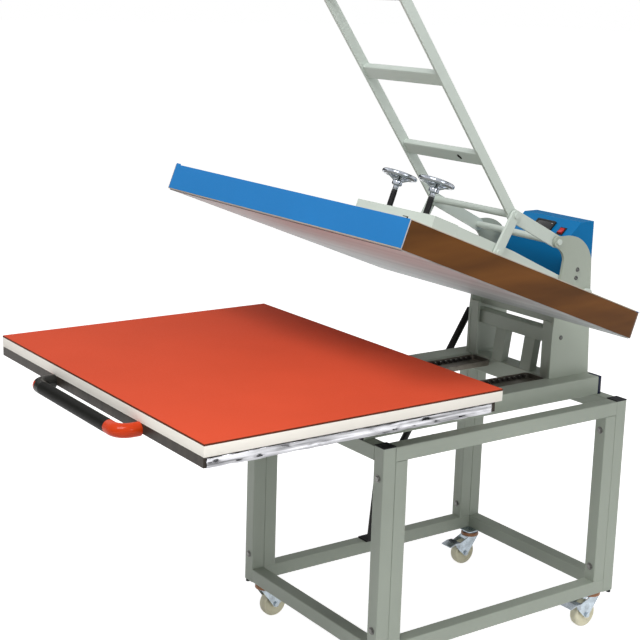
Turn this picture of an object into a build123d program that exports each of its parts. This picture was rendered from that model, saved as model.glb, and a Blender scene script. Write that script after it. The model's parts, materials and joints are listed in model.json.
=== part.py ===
# Large-format manual heat press on a wheeled stand, in millimetres.
# X runs across the press, +Y to its rear and +Z up. Sizes along Y are measured from the
# front face of the stand, and the finished press is moved to its own centre when it is saved.
from build123d import *
from math import atan2, cos, degrees, hypot, radians, sin
import os

# Fits
running_fit = 0.06
seat_fit = 0.03
side_gap = 2
play = 0.4

# Stand of square tube
stand_width = 594
stand_depth = 832
stand_height = 547
stand_tube = 38
stand_wall = 2
tube_corner = 3
cap_height = 3
cap_mark = 24
bolt_radius = 4
bolt_height = 78
bolt_inset = 19
bolt_head_radius = 7
bolt_head_height = 5
bolt_washer_radius = 10
bolt_washer = 1.5
nut_height = 6
plug_radius = 6
plug_height = 8
plug_inset = 7

# Casters
caster_height = 108
caster_plate = 60
caster_plate_inset = 14
caster_plate_thickness = 3
caster_plate_corner = 6
caster_race_radius = 20
caster_race_height = 6
kingpin_radius = 6
kingpin_length = 24
kingpin_head_radius = 9
kingpin_head_height = 4
caster_wheel_radius = 37.5
caster_wheel_width = 25
caster_trail = 28

# Base frame on the stand
rail_inner_x = 156
rail_width = 61
rail_height = 50
rail_length = 811
cross_member_depth = 60
cross_member_height = 30
rear_member_height = 48
rear_member_y = 675
middle_member_y = 386

# Ball slides
slide_x = 110.5
slide_front_y = 5
slide_back_y = 672
slide_plate = 3
slide_wall_height = 15
ball_row_x = 31.5
ball_radius = 4.25
runner_height = 9
runner_front_y = -330
runner_back_y = 215
runner_web_width = 36

# Drawer with the lower platen
platen_width = 1000
platen_depth = 800
pad_front_y = -617
pad_depth = 795
pad_thickness = 8
board_thickness = 21
tray_bottom_z = 780
tray_height = 22.5
tray_wall = 2
tray_inset = 2
tray_depth = 775
rib_thickness = 3
drawer_travel = 449
foil_thickness = 1.2
foil_fold = 60
foil_front_inset = 6
foil_rear_inset = 34

# Drawer handle
handle_radius = 16
handle_core_radius = 10
handle_centre_x = 20
handle_span = 424
handle_reach = 49
handle_bend = 30
handle_z = 788
elbow_length = 46

# Upper platen
pad_gap = 2.1
platen_thickness = 70
heating_plate_thickness = 12
cover_sheet = 2
plate_inset = 4
cover_lip = 4
element_radius = 4
element_passes = 6
platen_corner = 22

# Swing frame, with its heights above the platen's top face
hinge_y = 780
hinge_z = 926.8
tilt = 21
arm_outer_x = 158
arm_plate = 8
arm_clearance = 13
channel_setback = 358
channel_depth = 83
channel_top = 65
channel_wall = 6
hinge_shaft_radius = 12
hinge_tube_radius = 18
boss_radius = 20

# Pressure screws and handwheels
screw_x = 74.5
screw_radius = 8.5
screw_free_length = 49
screw_seat_height = 16
collar_height = 10
hub_height = 20
hub_radius = 13
wheel_rim_radius = 40
wheel_rim_section = 8
wheel_rim_rise = 10
spoke_count = 5
guide_pin_radius = 8
guide_pin_x = 128
guide_pin_setback = 710

# Toggle lever
lever_y = 667
lever_z = 1080
lever_shaft_radius = 6
lever_tube_radius = 9.5
lever_boss_height = 4
crank_length = 181.3
crank_angle = 153.3
crank_radius = 17
ladder_angle = 125.6
ladder_length = 699
ladder_bar_width = 27
rung_first = 186
rung_last = 19
rung_count = 3
rung_depth = 38
rung_height = 18
rung_wall = 2
rung_corner = 3
rung_hole_length = 17
rung_hole_width = 7
rung_hole_inset = 81
rung_hole_turn = -45
knee_tube_radius = 9.5
knee_axle_radius = 5.5
tube_clearance = 1.5
pin_head = 2
pin_head_height = 4
link_length = 105.7
link_angle = -120.1
link_radius = 14
link_plate = 8
link_gap = 0.5

# Columns
column_plate = 8
column_foot_y = 662
column_foot_depth = 149
flange_width = 30
flange_height = 155
bow_start = (2, 125)
bow_middle = (11, 210)
bow_end = (21, 278)
throat_low = (28, 325)
throat_middle = (16.5, -33)
throat_high = (-5, -15.2)
head_radius = 16
head_rise = 13.5
head_reach = 38
shoulder_middle = (93, -6)
shoulder_end = (127, -62)
column_screw_radius = 5.5
column_screw_head = 3
ear_screws = ((5, 37), (1, 14.5))
column_bar_y = 697
column_bar_z = 816
cross_plate_y = 702
cross_plate_z = 847
cross_plate_height = 55
cross_plate_thickness = 5
cross_plate_fold = 22
brace_x = 57
brace_width = 40
brace_thickness = 25

# Balance strut
strut_x = 238
strut_radius = 10
strut_rod_radius = 5
strut_cylinder_length = 575
strut_low_y = 423
strut_low_z = 319.8
strut_pin_radius = 5
strut_eye_radius = 11
strut_eye_width = 12
strut_play = 1.4
strut_overlap = 110
bracket_half_length = 34
bracket_foot = 5
bracket_web = 6
bracket_web_base = 30
bracket_web_top = 14
torque_arm_length = 60
torque_arm_angle = -100.6
torque_arm_plate = 8

# Control box
box_half_width = 111
box_front_y = 738
box_back_y = 855
box_rise = 15.2
box_height = 152.8
box_sheet = 2
panel_top_y = 805
panel_drop_y = 45
panel_drop_z = 41.4
panel_lip_rise = 104
controller_width = 72
controller_height = 36
controller_x = -3
controller_drop = 4.4
controller_bezel = 5
controller_depth = 42
switch_x = 70
switch_width = 24
switch_height = 27
switch_drop = 12.7
rocker_tilt = 7
contactor_x = -47.5
contactor_width = 45
contactor_depth = 60
contactor_height = 60
contactor_inset = 22
ear_rise = 13
ear_height = 36
ear_depth = 24

# Derived places
base_z = caster_height + stand_height
rail_top_z = base_z + rail_height
member_top_z = base_z + cross_member_height
board_z = tray_bottom_z + tray_height
pad_z = board_z + board_thickness
pad_top_z = pad_z + pad_thickness
platen_z = pad_top_z + pad_gap
platen_top_z = platen_z + platen_thickness
platen_front_y = pad_front_y + drawer_travel - (platen_depth - pad_depth) / 2
platen_back_y = platen_front_y + platen_depth
column_inner_x = arm_outer_x + side_gap
column_outer_x = column_inner_x + column_plate
arm_inner_x = arm_outer_x - arm_plate
link_inner_x = arm_outer_x + side_gap
link_outer_x = link_inner_x + link_plate
knee_y = lever_y + crank_length * cos(radians(crank_angle))
knee_z = lever_z + crank_length * sin(radians(crank_angle))
link_pin_y = knee_y + link_length * cos(radians(link_angle))
link_pin_z = knee_z + link_length * sin(radians(link_angle))
screw_y = platen_front_y + channel_setback + channel_depth / 2
screw_shoulder = channel_top + screw_free_length
grip_y = pad_front_y - handle_reach
strut_top_y = hinge_y + torque_arm_length * cos(radians(torque_arm_angle))
strut_top_z = hinge_z + torque_arm_length * sin(radians(torque_arm_angle))
strut_slope = degrees(atan2(strut_top_z - strut_low_z, strut_top_y - strut_low_y))
rung_pitch = (ladder_length - rung_first - rung_last) / (rung_count - 1)
box_bottom_z = hinge_z + boss_radius + box_rise
box_top_z = box_bottom_z + box_height
panel_lip_z = box_bottom_z + panel_lip_rise
origin_y = (box_back_y + grip_y - handle_radius) / 2


# Helpers
def block(x0, x1, y0, y1, z0, z1):
    """Solid box between two corners."""
    return Pos((x0 + x1) / 2, (y0 + y1) / 2, (z0 + z1) / 2) * Box(x1 - x0, y1 - y0, z1 - z0)


def tube(x0, x1, y0, y1, z0, z1, along, wall):
    """Rectangular tube with rounded edges between two corners, open at both ends."""
    inset = {"x": (0, wall, wall), "y": (wall, 0, wall), "z": (wall, wall, 0)}[along]
    axis = {"x": Axis.X, "y": Axis.Y, "z": Axis.Z}[along]
    dx, dy, dz = inset
    outside = block(x0, x1, y0, y1, z0, z1)
    outside = fillet(outside.edges().filter_by(axis), tube_corner)
    return outside - block(x0 + dx, x1 - dx, y0 + dy, y1 - dy, z0 + dz, z1 - dz)


def bar(x0, x1, y, z, radius):
    """Round bar along X."""
    lying = Pos((x0 + x1) / 2, y, z) * Rot(0, 90, 0)
    return lying * Cylinder(radius, x1 - x0)


def pipe(x0, x1, y, z, radius, bore):
    """Round tube along X."""
    return bar(x0, x1, y, z, radius) - bar(x0 - 1, x1 + 1, y, z, bore)


def plate(outline, x0, x1):
    """Plate with an outline drawn in Y and Z, between two X values."""
    return Pos(x0, 0, 0) * extrude(Plane.YZ * outline, x1 - x0)


def strap(y0, z0, y1, z1, radius):
    """Outline of a flat bar with round ends about two centres."""
    length = hypot(y1 - y0, z1 - z0)
    angle = degrees(atan2(z1 - z0, y1 - y0))
    return Pos((y0 + y1) / 2, (z0 + z1) / 2) * Rot(0, 0, angle) * SlotCenterToCenter(length, 2 * radius)


def polygon(*points):
    """Face inside a closed run of points."""
    return make_face(Polyline(*points, close=True))


def pair(shape):
    """A shape and its mirror image on the other side of the press."""
    return [shape, mirror(shape, about=Plane.YZ)]


def opened(shape):
    """Tilt a piece of the closed swing frame up about the hinge."""
    return Pos(0, hinge_y, hinge_z) * Rot(-tilt, 0, 0) * Pos(0, -hinge_y, -hinge_z) * shape


def above_platen(height):
    """Height of the closed press, from a height above the upper platen."""
    return platen_top_z + height


def save(name, *shapes):
    """Write the solids of one sub-part, moved to the centre of the press."""
    solids = [solid for shape in shapes for solid in shape.solids()]
    export_step(Pos(0, -origin_y, 0) * Compound(solids), f"parts/{name}.step")


# Stand
def bolt_line(x, z, y0, y1, radius):
    """Round bar along Y."""
    return Pos(x, (y0 + y1) / 2, z) * Rot(90, 0, 0) * Cylinder(radius, y1 - y0)


def bolt_places():
    """Centre X, centre Z and first Y of each stand bolt."""
    x = stand_width / 2 - bolt_inset
    heights = (caster_height + bolt_height, base_z - bolt_height)
    fronts = (0, stand_depth - 2 * stand_tube)
    return [(side * x, z, y) for side in (-1, 1) for z in heights for y in fronts]


def drilled(shape):
    """Drill the stand bolts' holes through a shape."""
    for x, z, y in bolt_places():
        shape = shape - bolt_line(x, z, y - 1, y + 2 * stand_tube + 1, bolt_radius + play / 2)
    return shape


def end_frame(y0):
    """Two full-height posts and two cross rails between them."""
    y1 = y0 + stand_tube
    outer = stand_width / 2
    inner = outer - stand_tube
    post = drilled(tube(inner, outer, y0, y1, caster_height, base_z, "z", stand_wall))
    low = tube(-inner, inner, y0, y1, caster_height, caster_height + stand_tube, "x", stand_wall)
    high = tube(-inner, inner, y0, y1, base_z - stand_tube, base_z, "x", stand_wall)
    return pair(post) + [low, high]


def side_frame():
    """Two rails along the stand with two uprights between them, on the right."""
    outer = stand_width / 2
    inner = outer - stand_tube
    y0 = stand_tube
    y1 = stand_depth - stand_tube
    low_z = caster_height + stand_tube
    high_z = base_z - stand_tube
    low = tube(inner, outer, y0, y1, caster_height, low_z, "y", stand_wall)
    high = tube(inner, outer, y0, y1, high_z, base_z, "y", stand_wall)
    front = drilled(tube(inner, outer, y0, y0 + stand_tube, low_z, high_z, "z", stand_wall))
    back = drilled(tube(inner, outer, y1 - stand_tube, y1, low_z, high_z, "z", stand_wall))
    return [low, high, front, back]


def stand_bolts():
    """Hexagon bolts with nuts that hold the side frames to the end frames."""
    bolts = []
    for x, z, y in bolt_places():
        back = y + 2 * stand_tube
        hexagon = Rot(90, 0, 0) * RegularPolygon(bolt_head_radius, 6)
        head = extrude(Pos(x, y, z) * hexagon, bolt_head_height, dir=(0, -1, 0))
        washer = bolt_line(x, z, y - bolt_washer, y, bolt_washer_radius)
        nut = extrude(Pos(x, back, z) * hexagon, nut_height, dir=(0, 1, 0))
        bolts.append(head + washer + bolt_line(x, z, y, back, bolt_radius) + nut)
    return bolts


def end_plugs():
    """Caps on the posts, round plugs under them and the caps of the base rails."""
    half = stand_tube / 2
    plugs = []
    for side in (-1, 1):
        for y in (half, stand_depth - half):
            x = side * (stand_width / 2 - half)
            cap = Pos(x, y, base_z + cap_height / 2) * Box(stand_tube, stand_tube, cap_height)
            cap = chamfer(cap.faces().sort_by(Axis.Z)[-1].edges(), 1)
            plugs.append(cap - Pos(x, y, base_z + cap_height) * Box(cap_mark, cap_mark, 1))
            corner_x = side * (stand_width / 2 - plug_inset)
            corner_y = plug_inset if y == half else stand_depth - plug_inset
            plug = Pos(corner_x, corner_y, caster_height - plug_height / 2)
            plugs.append(plug * Cylinder(plug_radius, plug_height))
    rail_x = rail_inner_x + rail_width / 2
    for y in (-1.5, rail_length + 1.5):
        cap = Pos(rail_x, y, base_z + rail_height / 2) * Box(rail_width, 3, rail_height)
        plugs += pair(cap)
    return plugs


# Casters, drawn about the swivel axis with the wheel trailing to +Y
def caster_plate_piece():
    """Top plate with the upper race and the kingpin."""
    under = caster_height - caster_plate_thickness
    middle_z = under + caster_plate_thickness / 2
    top = Pos(0, 0, middle_z) * Box(caster_plate, caster_plate, caster_plate_thickness)
    top = fillet(top.edges().filter_by(Axis.Z), caster_plate_corner)
    race = Pos(0, 0, under - caster_race_height / 2) * Cylinder(caster_race_radius, caster_race_height)
    pin = Pos(0, 0, under - kingpin_length / 2) * Cylinder(kingpin_radius, kingpin_length)
    head = Pos(0, 0, under - kingpin_length + 1.5) * Cylinder(kingpin_head_radius, kingpin_head_height)
    return top + race + pin + head


def caster_fork():
    """Fork with its head, swivel ring cover and axle."""
    head_top = caster_height - caster_plate_thickness - 6 - play
    crown_z = 85
    head = Pos(0, 0, (head_top + crown_z) / 2) * Cylinder(22, head_top - crown_z)
    crown = Pos(0, 2, crown_z + 1.5) * Box(36, 40, 3)
    cheek_face = make_hull(
        (
            Pos(0, crown_z + 1.5) * Rectangle(36, 3)
            + Pos(caster_trail, caster_wheel_radius) * Circle(9)
            + Pos(caster_trail + 32, caster_wheel_radius + 26) * Circle(5.5)
        ).edges()
    )
    cheek_face = cheek_face - Pos(caster_trail + 32, caster_wheel_radius + 26) * Circle(2.5 + running_fit)
    cheek = plate(cheek_face, 15.5, 18)
    fork = head + crown + cheek + mirror(cheek, about=Plane.YZ)
    fork = fork - Pos(0, 0, crown_z) * Cylinder(6 + running_fit, 40)
    fork = fork - bar(-20, 20, caster_trail, caster_wheel_radius, 4 + seat_fit)
    ring = Pos(0, 0, crown_z + 8) * (Cylinder(26, 9) - Cylinder(22 + seat_fit, 9))
    ring = chamfer(ring.faces().sort_by(Axis.Z)[-1].outer_wire().edges(), 2)
    axle = bar(-21, 21, caster_trail, caster_wheel_radius, 4)
    for side in (-1, 1):
        nut = Rot(0, 90, 0) * extrude(RegularPolygon(7, 6), 2.5, both=True)
        axle = axle + Pos(side * 20.5, caster_trail, caster_wheel_radius) * nut
    return [fork, ring, axle]


def caster_wheel():
    """Wheel with a rounded tread, a thinner web and a hub."""
    half = caster_wheel_width / 2
    section = polygon(
        (4 + running_fit, half + 1.5),
        (11, half + 1.5),
        (13, 7),
        (26, 7),
        (29, half),
        (caster_wheel_radius - 3, half),
        (caster_wheel_radius, half - 3),
        (caster_wheel_radius, -half + 3),
        (caster_wheel_radius - 3, -half),
        (29, -half),
        (26, -7),
        (13, -7),
        (11, -half - 1.5),
        (4 + running_fit, -half - 1.5),
    )
    wheel = revolve(Plane.XZ * section, Axis.Z)
    return Pos(0, caster_trail, caster_wheel_radius) * Rot(0, 90, 0) * wheel


def caster_pedal():
    """Brake pedal that straddles the fork on its own pin."""
    pivot_y = caster_trail + 32
    pivot_z = caster_wheel_radius + 26
    tread = polygon(
        (pivot_y - 6, pivot_z + 9),
        (pivot_y + 14, pivot_z + 9),
        (pivot_y + 34, pivot_z + 3),
        (pivot_y + 34, pivot_z + 6),
        (pivot_y + 14, pivot_z + 12.5),
        (pivot_y - 6, pivot_z + 12.5),
    )
    ear = make_hull(
        (
            Pos(pivot_y, pivot_z) * Circle(5.5)
            + Pos(pivot_y + 4, pivot_z + 10.5) * Rectangle(18, 2)
        ).edges()
    )
    pedal = plate(tread, -21, 21)
    for x0, x1 in ((-21, -18 - play), (18 + play, 21)):
        pedal = pedal + plate(ear, x0, x1)
    for x0, x1 in ((-21, -15.5), (15.5, 21)):
        pedal = pedal + bar(x0, x1, pivot_y, pivot_z, 2.5)
    return pedal


def caster_places():
    """Name, location and turn of each caster."""
    x = stand_width / 2 - caster_plate_inset - caster_plate / 2
    front = 8 + caster_plate / 2
    return [
        ("front_left", Pos(-x, front, 0)),
        ("front_right", Pos(x, front, 0)),
        ("rear_left", Pos(-x, stand_depth - front, 0) * Rot(0, 0, 180)),
        ("rear_right", Pos(x, stand_depth - front, 0) * Rot(0, 0, 180)),
    ]


# Base frame and slides
def base_frame():
    """Two long rails with three cross members between them."""
    rail = tube(
        rail_inner_x, rail_inner_x + rail_width, 0, rail_length, base_z, rail_top_z, "y", stand_wall
    )
    members = []
    places = {0: cross_member_height, middle_member_y: cross_member_height, rear_member_y: rear_member_height}
    for y0, height in places.items():
        y1 = y0 + cross_member_depth
        members.append(tube(-rail_inner_x, rail_inner_x, y0, y1, base_z, base_z + height, "x", stand_wall))
    return pair(rail) + members


def slide_channel():
    """Fixed channel of the right ball slide, with a rounded rear end."""
    half = ball_row_x + ball_radius + slide_plate
    z1 = member_top_z + slide_wall_height
    body = block(slide_x - half, slide_x + half, slide_front_y, slide_back_y, member_top_z, z1)
    body = fillet(body.edges().filter_by(Axis.Z).sort_by(Axis.Y)[-2:], 14)
    inner = half - slide_plate
    trough = block(
        slide_x - inner,
        slide_x + inner,
        slide_front_y - 1,
        slide_back_y - slide_plate,
        member_top_z + slide_plate,
        z1 + 1,
    )
    trough = fillet(trough.edges().filter_by(Axis.Z).sort_by(Axis.Y)[-2:], 11)
    return body - trough


def ball_rows():
    """Cages that hold the two rows of balls beside the right runner."""
    floor_z = member_top_z + slide_plate
    rows = []
    for side in (-1, 1):
        x = slide_x + side * ball_row_x
        x0 = x - ball_radius
        x1 = x + ball_radius
        rows.append(block(x0, x1, slide_front_y + 3, slide_back_y - 16, floor_z, floor_z + runner_height))
    return rows


def runner():
    """Moving runner of the right slide, with the upright that carries the tray."""
    half = ball_row_x - ball_radius - play
    z0 = member_top_z + slide_plate + 3
    z1 = z0 + runner_height
    foot = block(slide_x - half, slide_x + half, runner_front_y, runner_back_y, z0, z1)
    web_half = runner_web_width / 2
    web = tube(
        slide_x - web_half,
        slide_x + web_half,
        runner_front_y,
        pad_front_y + tray_depth - 8,
        z1 - 2,
        tray_bottom_z,
        "y",
        2,
    )
    return foot + web


# Drawer
def drawer_tray():
    """Shallow steel pan with ribs under the board."""
    half = platen_width / 2 - tray_inset
    y1 = pad_front_y + tray_depth
    pan = block(-half, half, pad_front_y, y1, tray_bottom_z, board_z)
    pan = pan - block(
        -half + tray_wall,
        half - tray_wall,
        pad_front_y + tray_wall,
        y1 - tray_wall,
        tray_bottom_z + tray_wall,
        board_z + 1,
    )
    for share in (0.25, 0.5, 0.75):
        y = pad_front_y + tray_depth * share
        pan = pan + block(-half + 1, half - 1, y, y + rib_thickness, tray_bottom_z + 1, board_z)
    return pan


def foil_wrap():
    """Foil folded over the tray's right side and under it."""
    side_x = platen_width / 2 - tray_inset
    y0 = pad_front_y + foil_front_inset
    y1 = pad_front_y + tray_depth - foil_rear_inset
    wall = block(side_x, side_x + foil_thickness, y0, y1, tray_bottom_z - foil_thickness, board_z - 1)
    z0 = tray_bottom_z - foil_thickness
    under = block(side_x - foil_fold, side_x + foil_thickness, y0, y1, z0, tray_bottom_z)
    return wall + under


def handle_pieces():
    """Steel core, grip sleeve and two elbows of the drawer handle."""
    left = handle_centre_x - handle_span / 2
    right = handle_centre_x + handle_span / 2
    path = Pos(0, 0, handle_z) * FilletPolyline(
        (left, pad_front_y), (left, grip_y), (right, grip_y), (right, pad_front_y), radius=handle_bend
    )
    core = sweep(Plane(origin=path @ 0, z_dir=path % 0) * Circle(handle_core_radius), path)
    sleeve = Circle(handle_radius) - Circle(handle_core_radius + seat_fit)
    elbows = []
    for leg, far in ((left, left + elbow_length), (right, right - elbow_length)):
        bend = Pos(0, 0, handle_z) * FilletPolyline(
            (leg, pad_front_y), (leg, grip_y), (far, grip_y), radius=handle_bend
        )
        elbows.append(sweep(Plane(origin=bend @ 0, z_dir=bend % 0) * sleeve, bend))
    grip = pipe(
        left + elbow_length,
        right - elbow_length,
        grip_y,
        handle_z,
        handle_radius,
        handle_core_radius + seat_fit,
    )
    return core, grip, elbows


# Upper platen, drawn closed
def platen_outline(inset):
    """Plan of the upper platen with rounded rear corners."""
    width = platen_width - 2 * inset
    depth = platen_depth - 2 * inset
    centre_y = (platen_front_y + platen_back_y) / 2
    plan = Rectangle(width, depth)
    plan = fillet(plan.vertices().sort_by(Axis.Y)[-2:], platen_corner - inset)
    return Pos(0, centre_y) * plan


def platen_slab(inset, z0, z1):
    """Slab of the platen's plan between two heights."""
    return Pos(0, 0, z0) * extrude(platen_outline(inset), z1 - z0)


def heating_plate():
    """Aluminium plate that is pressed on the work."""
    return platen_slab(plate_inset, platen_z, platen_z + heating_plate_thickness)


def heating_element():
    """Serpentine heater on the back of the plate."""
    reach = platen_width / 2 - 90
    pitch = (platen_depth - 200) / (element_passes - 1)
    y0 = platen_front_y + 100
    points = []
    for index in range(element_passes):
        side = 1 if index % 2 else -1
        y = y0 + index * pitch
        points += [(side * -reach, y), (side * reach, y)]
    path = Pos(0, 0, platen_z + heating_plate_thickness + element_radius) * FilletPolyline(
        *points, radius=pitch * 0.4
    )
    return sweep(Plane(origin=path @ 0, z_dir=path % 0) * Circle(element_radius), path)


def insulation():
    """Insulation between the heater and the cover."""
    z0 = platen_z + heating_plate_thickness + 2 * element_radius + 0.3
    return platen_slab(cover_sheet + 8, z0, platen_top_z - cover_sheet)


def platen_cover():
    """Top sheet and front panel, folded from one sheet."""
    top = platen_slab(0, platen_top_z - cover_sheet, platen_top_z)
    half = platen_width / 2
    front = block(
        -half,
        half,
        platen_front_y,
        platen_front_y + cover_sheet,
        platen_z + cover_lip,
        platen_top_z - cover_sheet,
    )
    return top + front


def side_panels():
    """Sheet that wraps the two sides and the rounded rear of the platen."""
    z0 = platen_z + cover_lip / 2
    z1 = platen_top_z - cover_sheet
    wrap = platen_slab(0, z0, z1) - platen_slab(cover_sheet, z0 - 1, z1 + 1)
    return wrap - block(
        -platen_width, platen_width, platen_front_y - 1, platen_front_y + cover_sheet, z0 - 1, z1 + 1
    )


def platen_seats():
    """Screw seats and rear guide pins on the platen's top."""
    seats = []
    seat = block(
        screw_x - 30, screw_x + 30, screw_y - 20, screw_y + 20, platen_top_z, above_platen(screw_seat_height)
    )
    pocket = Pos(screw_x, screw_y, above_platen(screw_seat_height)) * Cylinder(screw_radius + play, 20)
    seats += pair(seat - pocket)
    guide_y = platen_front_y + guide_pin_setback
    pin = Pos(guide_pin_x, guide_y, above_platen(21)) * Cylinder(guide_pin_radius, 42)
    foot = Pos(guide_pin_x, guide_y, above_platen(1)) * Cylinder(guide_pin_radius + 5, 2)
    return seats + pair(pin + foot)


# Swing frame, drawn closed
def cross_channel():
    """Inverted channel that carries the nuts of the pressure screws."""
    y0 = platen_front_y + channel_setback
    y1 = y0 + channel_depth
    z0 = above_platen(arm_clearance)
    z1 = above_platen(channel_top)
    body = block(-arm_outer_x, arm_outer_x, y0, y1, z0, z1)
    body = body - block(
        -arm_outer_x + channel_wall,
        arm_outer_x - channel_wall,
        y0 + channel_wall,
        y1 - channel_wall,
        z0 - 1,
        z1 - channel_wall,
    )
    nuts = []
    for side in (-1, 1):
        hole = Pos(side * screw_x, screw_y, z1) * Cylinder(screw_radius + play, 40)
        body = body - hole
        nut_z = z1 - channel_wall - 9
        nut = Pos(side * screw_x, screw_y, nut_z) * Cylinder(19, 18)
        nuts.append(nut - Pos(side * screw_x, screw_y, nut_z) * Cylinder(screw_radius + running_fit, 20))
    return [body] + nuts


def swing_arm():
    """Right arm of the swing frame, from the channel back to the hinge."""
    y0 = platen_front_y + channel_setback + channel_depth
    outline = polygon(
        (y0, above_platen(arm_clearance)),
        (y0, above_platen(channel_top - 2)),
        (y0 + 210, above_platen(channel_top - 7)),
        (y0 + 430, hinge_z + boss_radius),
        (hinge_y, hinge_z + boss_radius),
        (hinge_y, hinge_z - boss_radius),
        (platen_back_y + 20, above_platen(arm_clearance)),
    )
    outline = outline + Pos(hinge_y, hinge_z) * Circle(boss_radius)
    outline = outline - Pos(hinge_y, hinge_z) * Circle(hinge_shaft_radius + seat_fit)
    return plate(outline, arm_inner_x, arm_outer_x)


def guide_lug():
    """Lug on the right arm that steers the platen's guide pin."""
    y = platen_front_y + guide_pin_setback
    z0 = above_platen(arm_clearance + 1)
    lug = block(guide_pin_x - 18, arm_inner_x, y - 18, y + 18, z0, z0 + 10)
    return lug - Pos(guide_pin_x, y, z0) * Cylinder(guide_pin_radius + play, 40)


def hinge_shaft():
    """Shaft of the swing frame with end collars."""
    left = -strut_x + strut_eye_width / 2 + 2
    shaft = bar(left, column_outer_x + 8, hinge_y, hinge_z, hinge_shaft_radius)
    near = column_outer_x + play
    far = column_outer_x + 8
    for x0, x1 in ((-far, -near), (near, far)):
        shaft = shaft + bar(x0, x1, hinge_y, hinge_z, hinge_tube_radius)
    return shaft


def torque_arm():
    """Arm on the hinge shaft that the balance strut works on, drawn open."""
    x1 = -strut_x + strut_eye_width / 2 + 2 + torque_arm_plate
    x0 = x1 - torque_arm_plate
    outline = strap(hinge_y, hinge_z, strut_top_y, strut_top_z, strut_eye_radius)
    outline = outline + Pos(hinge_y, hinge_z) * Circle(boss_radius)
    outline = outline - Pos(hinge_y, hinge_z) * Circle(hinge_shaft_radius + seat_fit)
    pin_end = -strut_x - strut_eye_width / 2 - 5
    pin = bar(pin_end, x0, strut_top_y, strut_top_z, strut_pin_radius)
    head = bar(pin_end, pin_end + 4, strut_top_y, strut_top_z, strut_pin_radius + 3)
    return plate(outline, x0, x1) + pin + head


# Pressure screws and handwheels, drawn closed
def pressure_screw(x):
    """Black screw from its seat on the platen up to the handwheel."""
    z0 = above_platen(screw_seat_height - 10 + 0.3)
    z1 = above_platen(screw_shoulder)
    rod = Pos(x, screw_y, (z0 + z1) / 2) * Cylinder(screw_radius, z1 - z0)
    spigot = Pos(x, screw_y, z1 + 10) * Cylinder(screw_radius - 3, 20)
    return rod + spigot


def handwheel(x):
    """Dished wheel: collar, hub, flared spokes and a round rim."""
    z0 = 0
    z1 = collar_height
    z2 = z1 + hub_height
    rim_z = z2 + wheel_rim_rise
    hub = Pos(0, 0, (z0 + z1) / 2) * Cylinder(hub_radius - 3, z1 - z0)
    hub = hub + Pos(0, 0, (z1 + z2) / 2) * Cylinder(hub_radius, z2 - z1)
    wheel = hub + Pos(0, 0, rim_z) * Torus(wheel_rim_radius, wheel_rim_section)
    spoke_face = polygon(
        (hub_radius - 4, z2 - 12),
        (wheel_rim_radius - 9, rim_z - 6),
        (wheel_rim_radius, rim_z - 3),
        (wheel_rim_radius, rim_z + 3),
        (wheel_rim_radius - 12, rim_z),
        (hub_radius - 4, z2),
    )
    spoke = extrude(Plane.XZ * spoke_face, 4.5, both=True)
    for index in range(spoke_count):
        wheel = wheel + Rot(0, 0, index * 360 / spoke_count) * spoke
    wheel = wheel - Pos(0, 0, 10) * Cylinder(screw_radius - 3 + seat_fit, 20 + 0.2)
    return Pos(x, screw_y, above_platen(screw_shoulder)) * wheel


# Toggle lever and links
def along_ladder(distance, depth, height, x0, x1):
    """Box across the ladder, centred at a distance from the knee."""
    box = Box(x1 - x0, depth, height)
    return Pos((x0 + x1) / 2, knee_y, knee_z) * Rot(ladder_angle, 0, 0) * Pos(0, distance, 0) * box


def lever_side_bar():
    """Right side bar: crank from the pivot to the knee, and the ladder rail beyond it."""
    crank = plate(strap(lever_y, lever_z, knee_y, knee_z, crank_radius), arm_inner_x, arm_outer_x)
    rail = along_ladder(ladder_length / 2, ladder_length, ladder_bar_width, arm_inner_x, arm_outer_x)
    side = crank + rail
    side = side - bar(arm_inner_x - 1, arm_outer_x + 1, lever_y, lever_z, lever_shaft_radius + running_fit)
    return side - bar(arm_inner_x - 1, arm_outer_x + 1, knee_y, knee_z, knee_axle_radius + seat_fit)


def rungs():
    """Rectangular tubes across the ladder, the first with an oblong hole near its right end."""
    pieces = []
    for index in range(rung_count):
        distance = rung_first + index * rung_pitch
        outer = along_ladder(distance, rung_depth, rung_height, -arm_inner_x, arm_inner_x)
        outer = fillet(outer.edges().filter_by(Axis.X), rung_corner)
        inner = along_ladder(
            distance, rung_depth - 2 * rung_wall, rung_height - 2 * rung_wall, -arm_inner_x, arm_inner_x
        )
        pieces.append(outer - inner)
    slot = extrude(Rot(0, 0, rung_hole_turn) * SlotOverall(rung_hole_length, rung_hole_width), rung_height)
    place = Pos(arm_inner_x - rung_hole_inset, knee_y, knee_z) * Rot(ladder_angle, 0, 0)
    pieces[0] = pieces[0] - place * Pos(0, rung_first, 0) * slot
    return pieces


def lever_tubes():
    """Knee tube and pivot tube between the two side bars."""
    knee_bore = knee_axle_radius + tube_clearance
    knee = pipe(-arm_inner_x, arm_inner_x, knee_y, knee_z, knee_tube_radius, knee_bore)
    pivot_bore = lever_shaft_radius + tube_clearance
    pivot = pipe(-arm_inner_x, arm_inner_x, lever_y, lever_z, lever_tube_radius, pivot_bore)
    return [knee, pivot]


def knee_axle():
    """Axle through the knee, with a head outside each link."""
    start = link_outer_x + play
    end = start + pin_head_height
    axle = bar(-end, end, knee_y, knee_z, knee_axle_radius)
    for x0, x1 in ((-end, -start), (start, end)):
        axle = axle + bar(x0, x1, knee_y, knee_z, knee_axle_radius + pin_head)
    return axle


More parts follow.
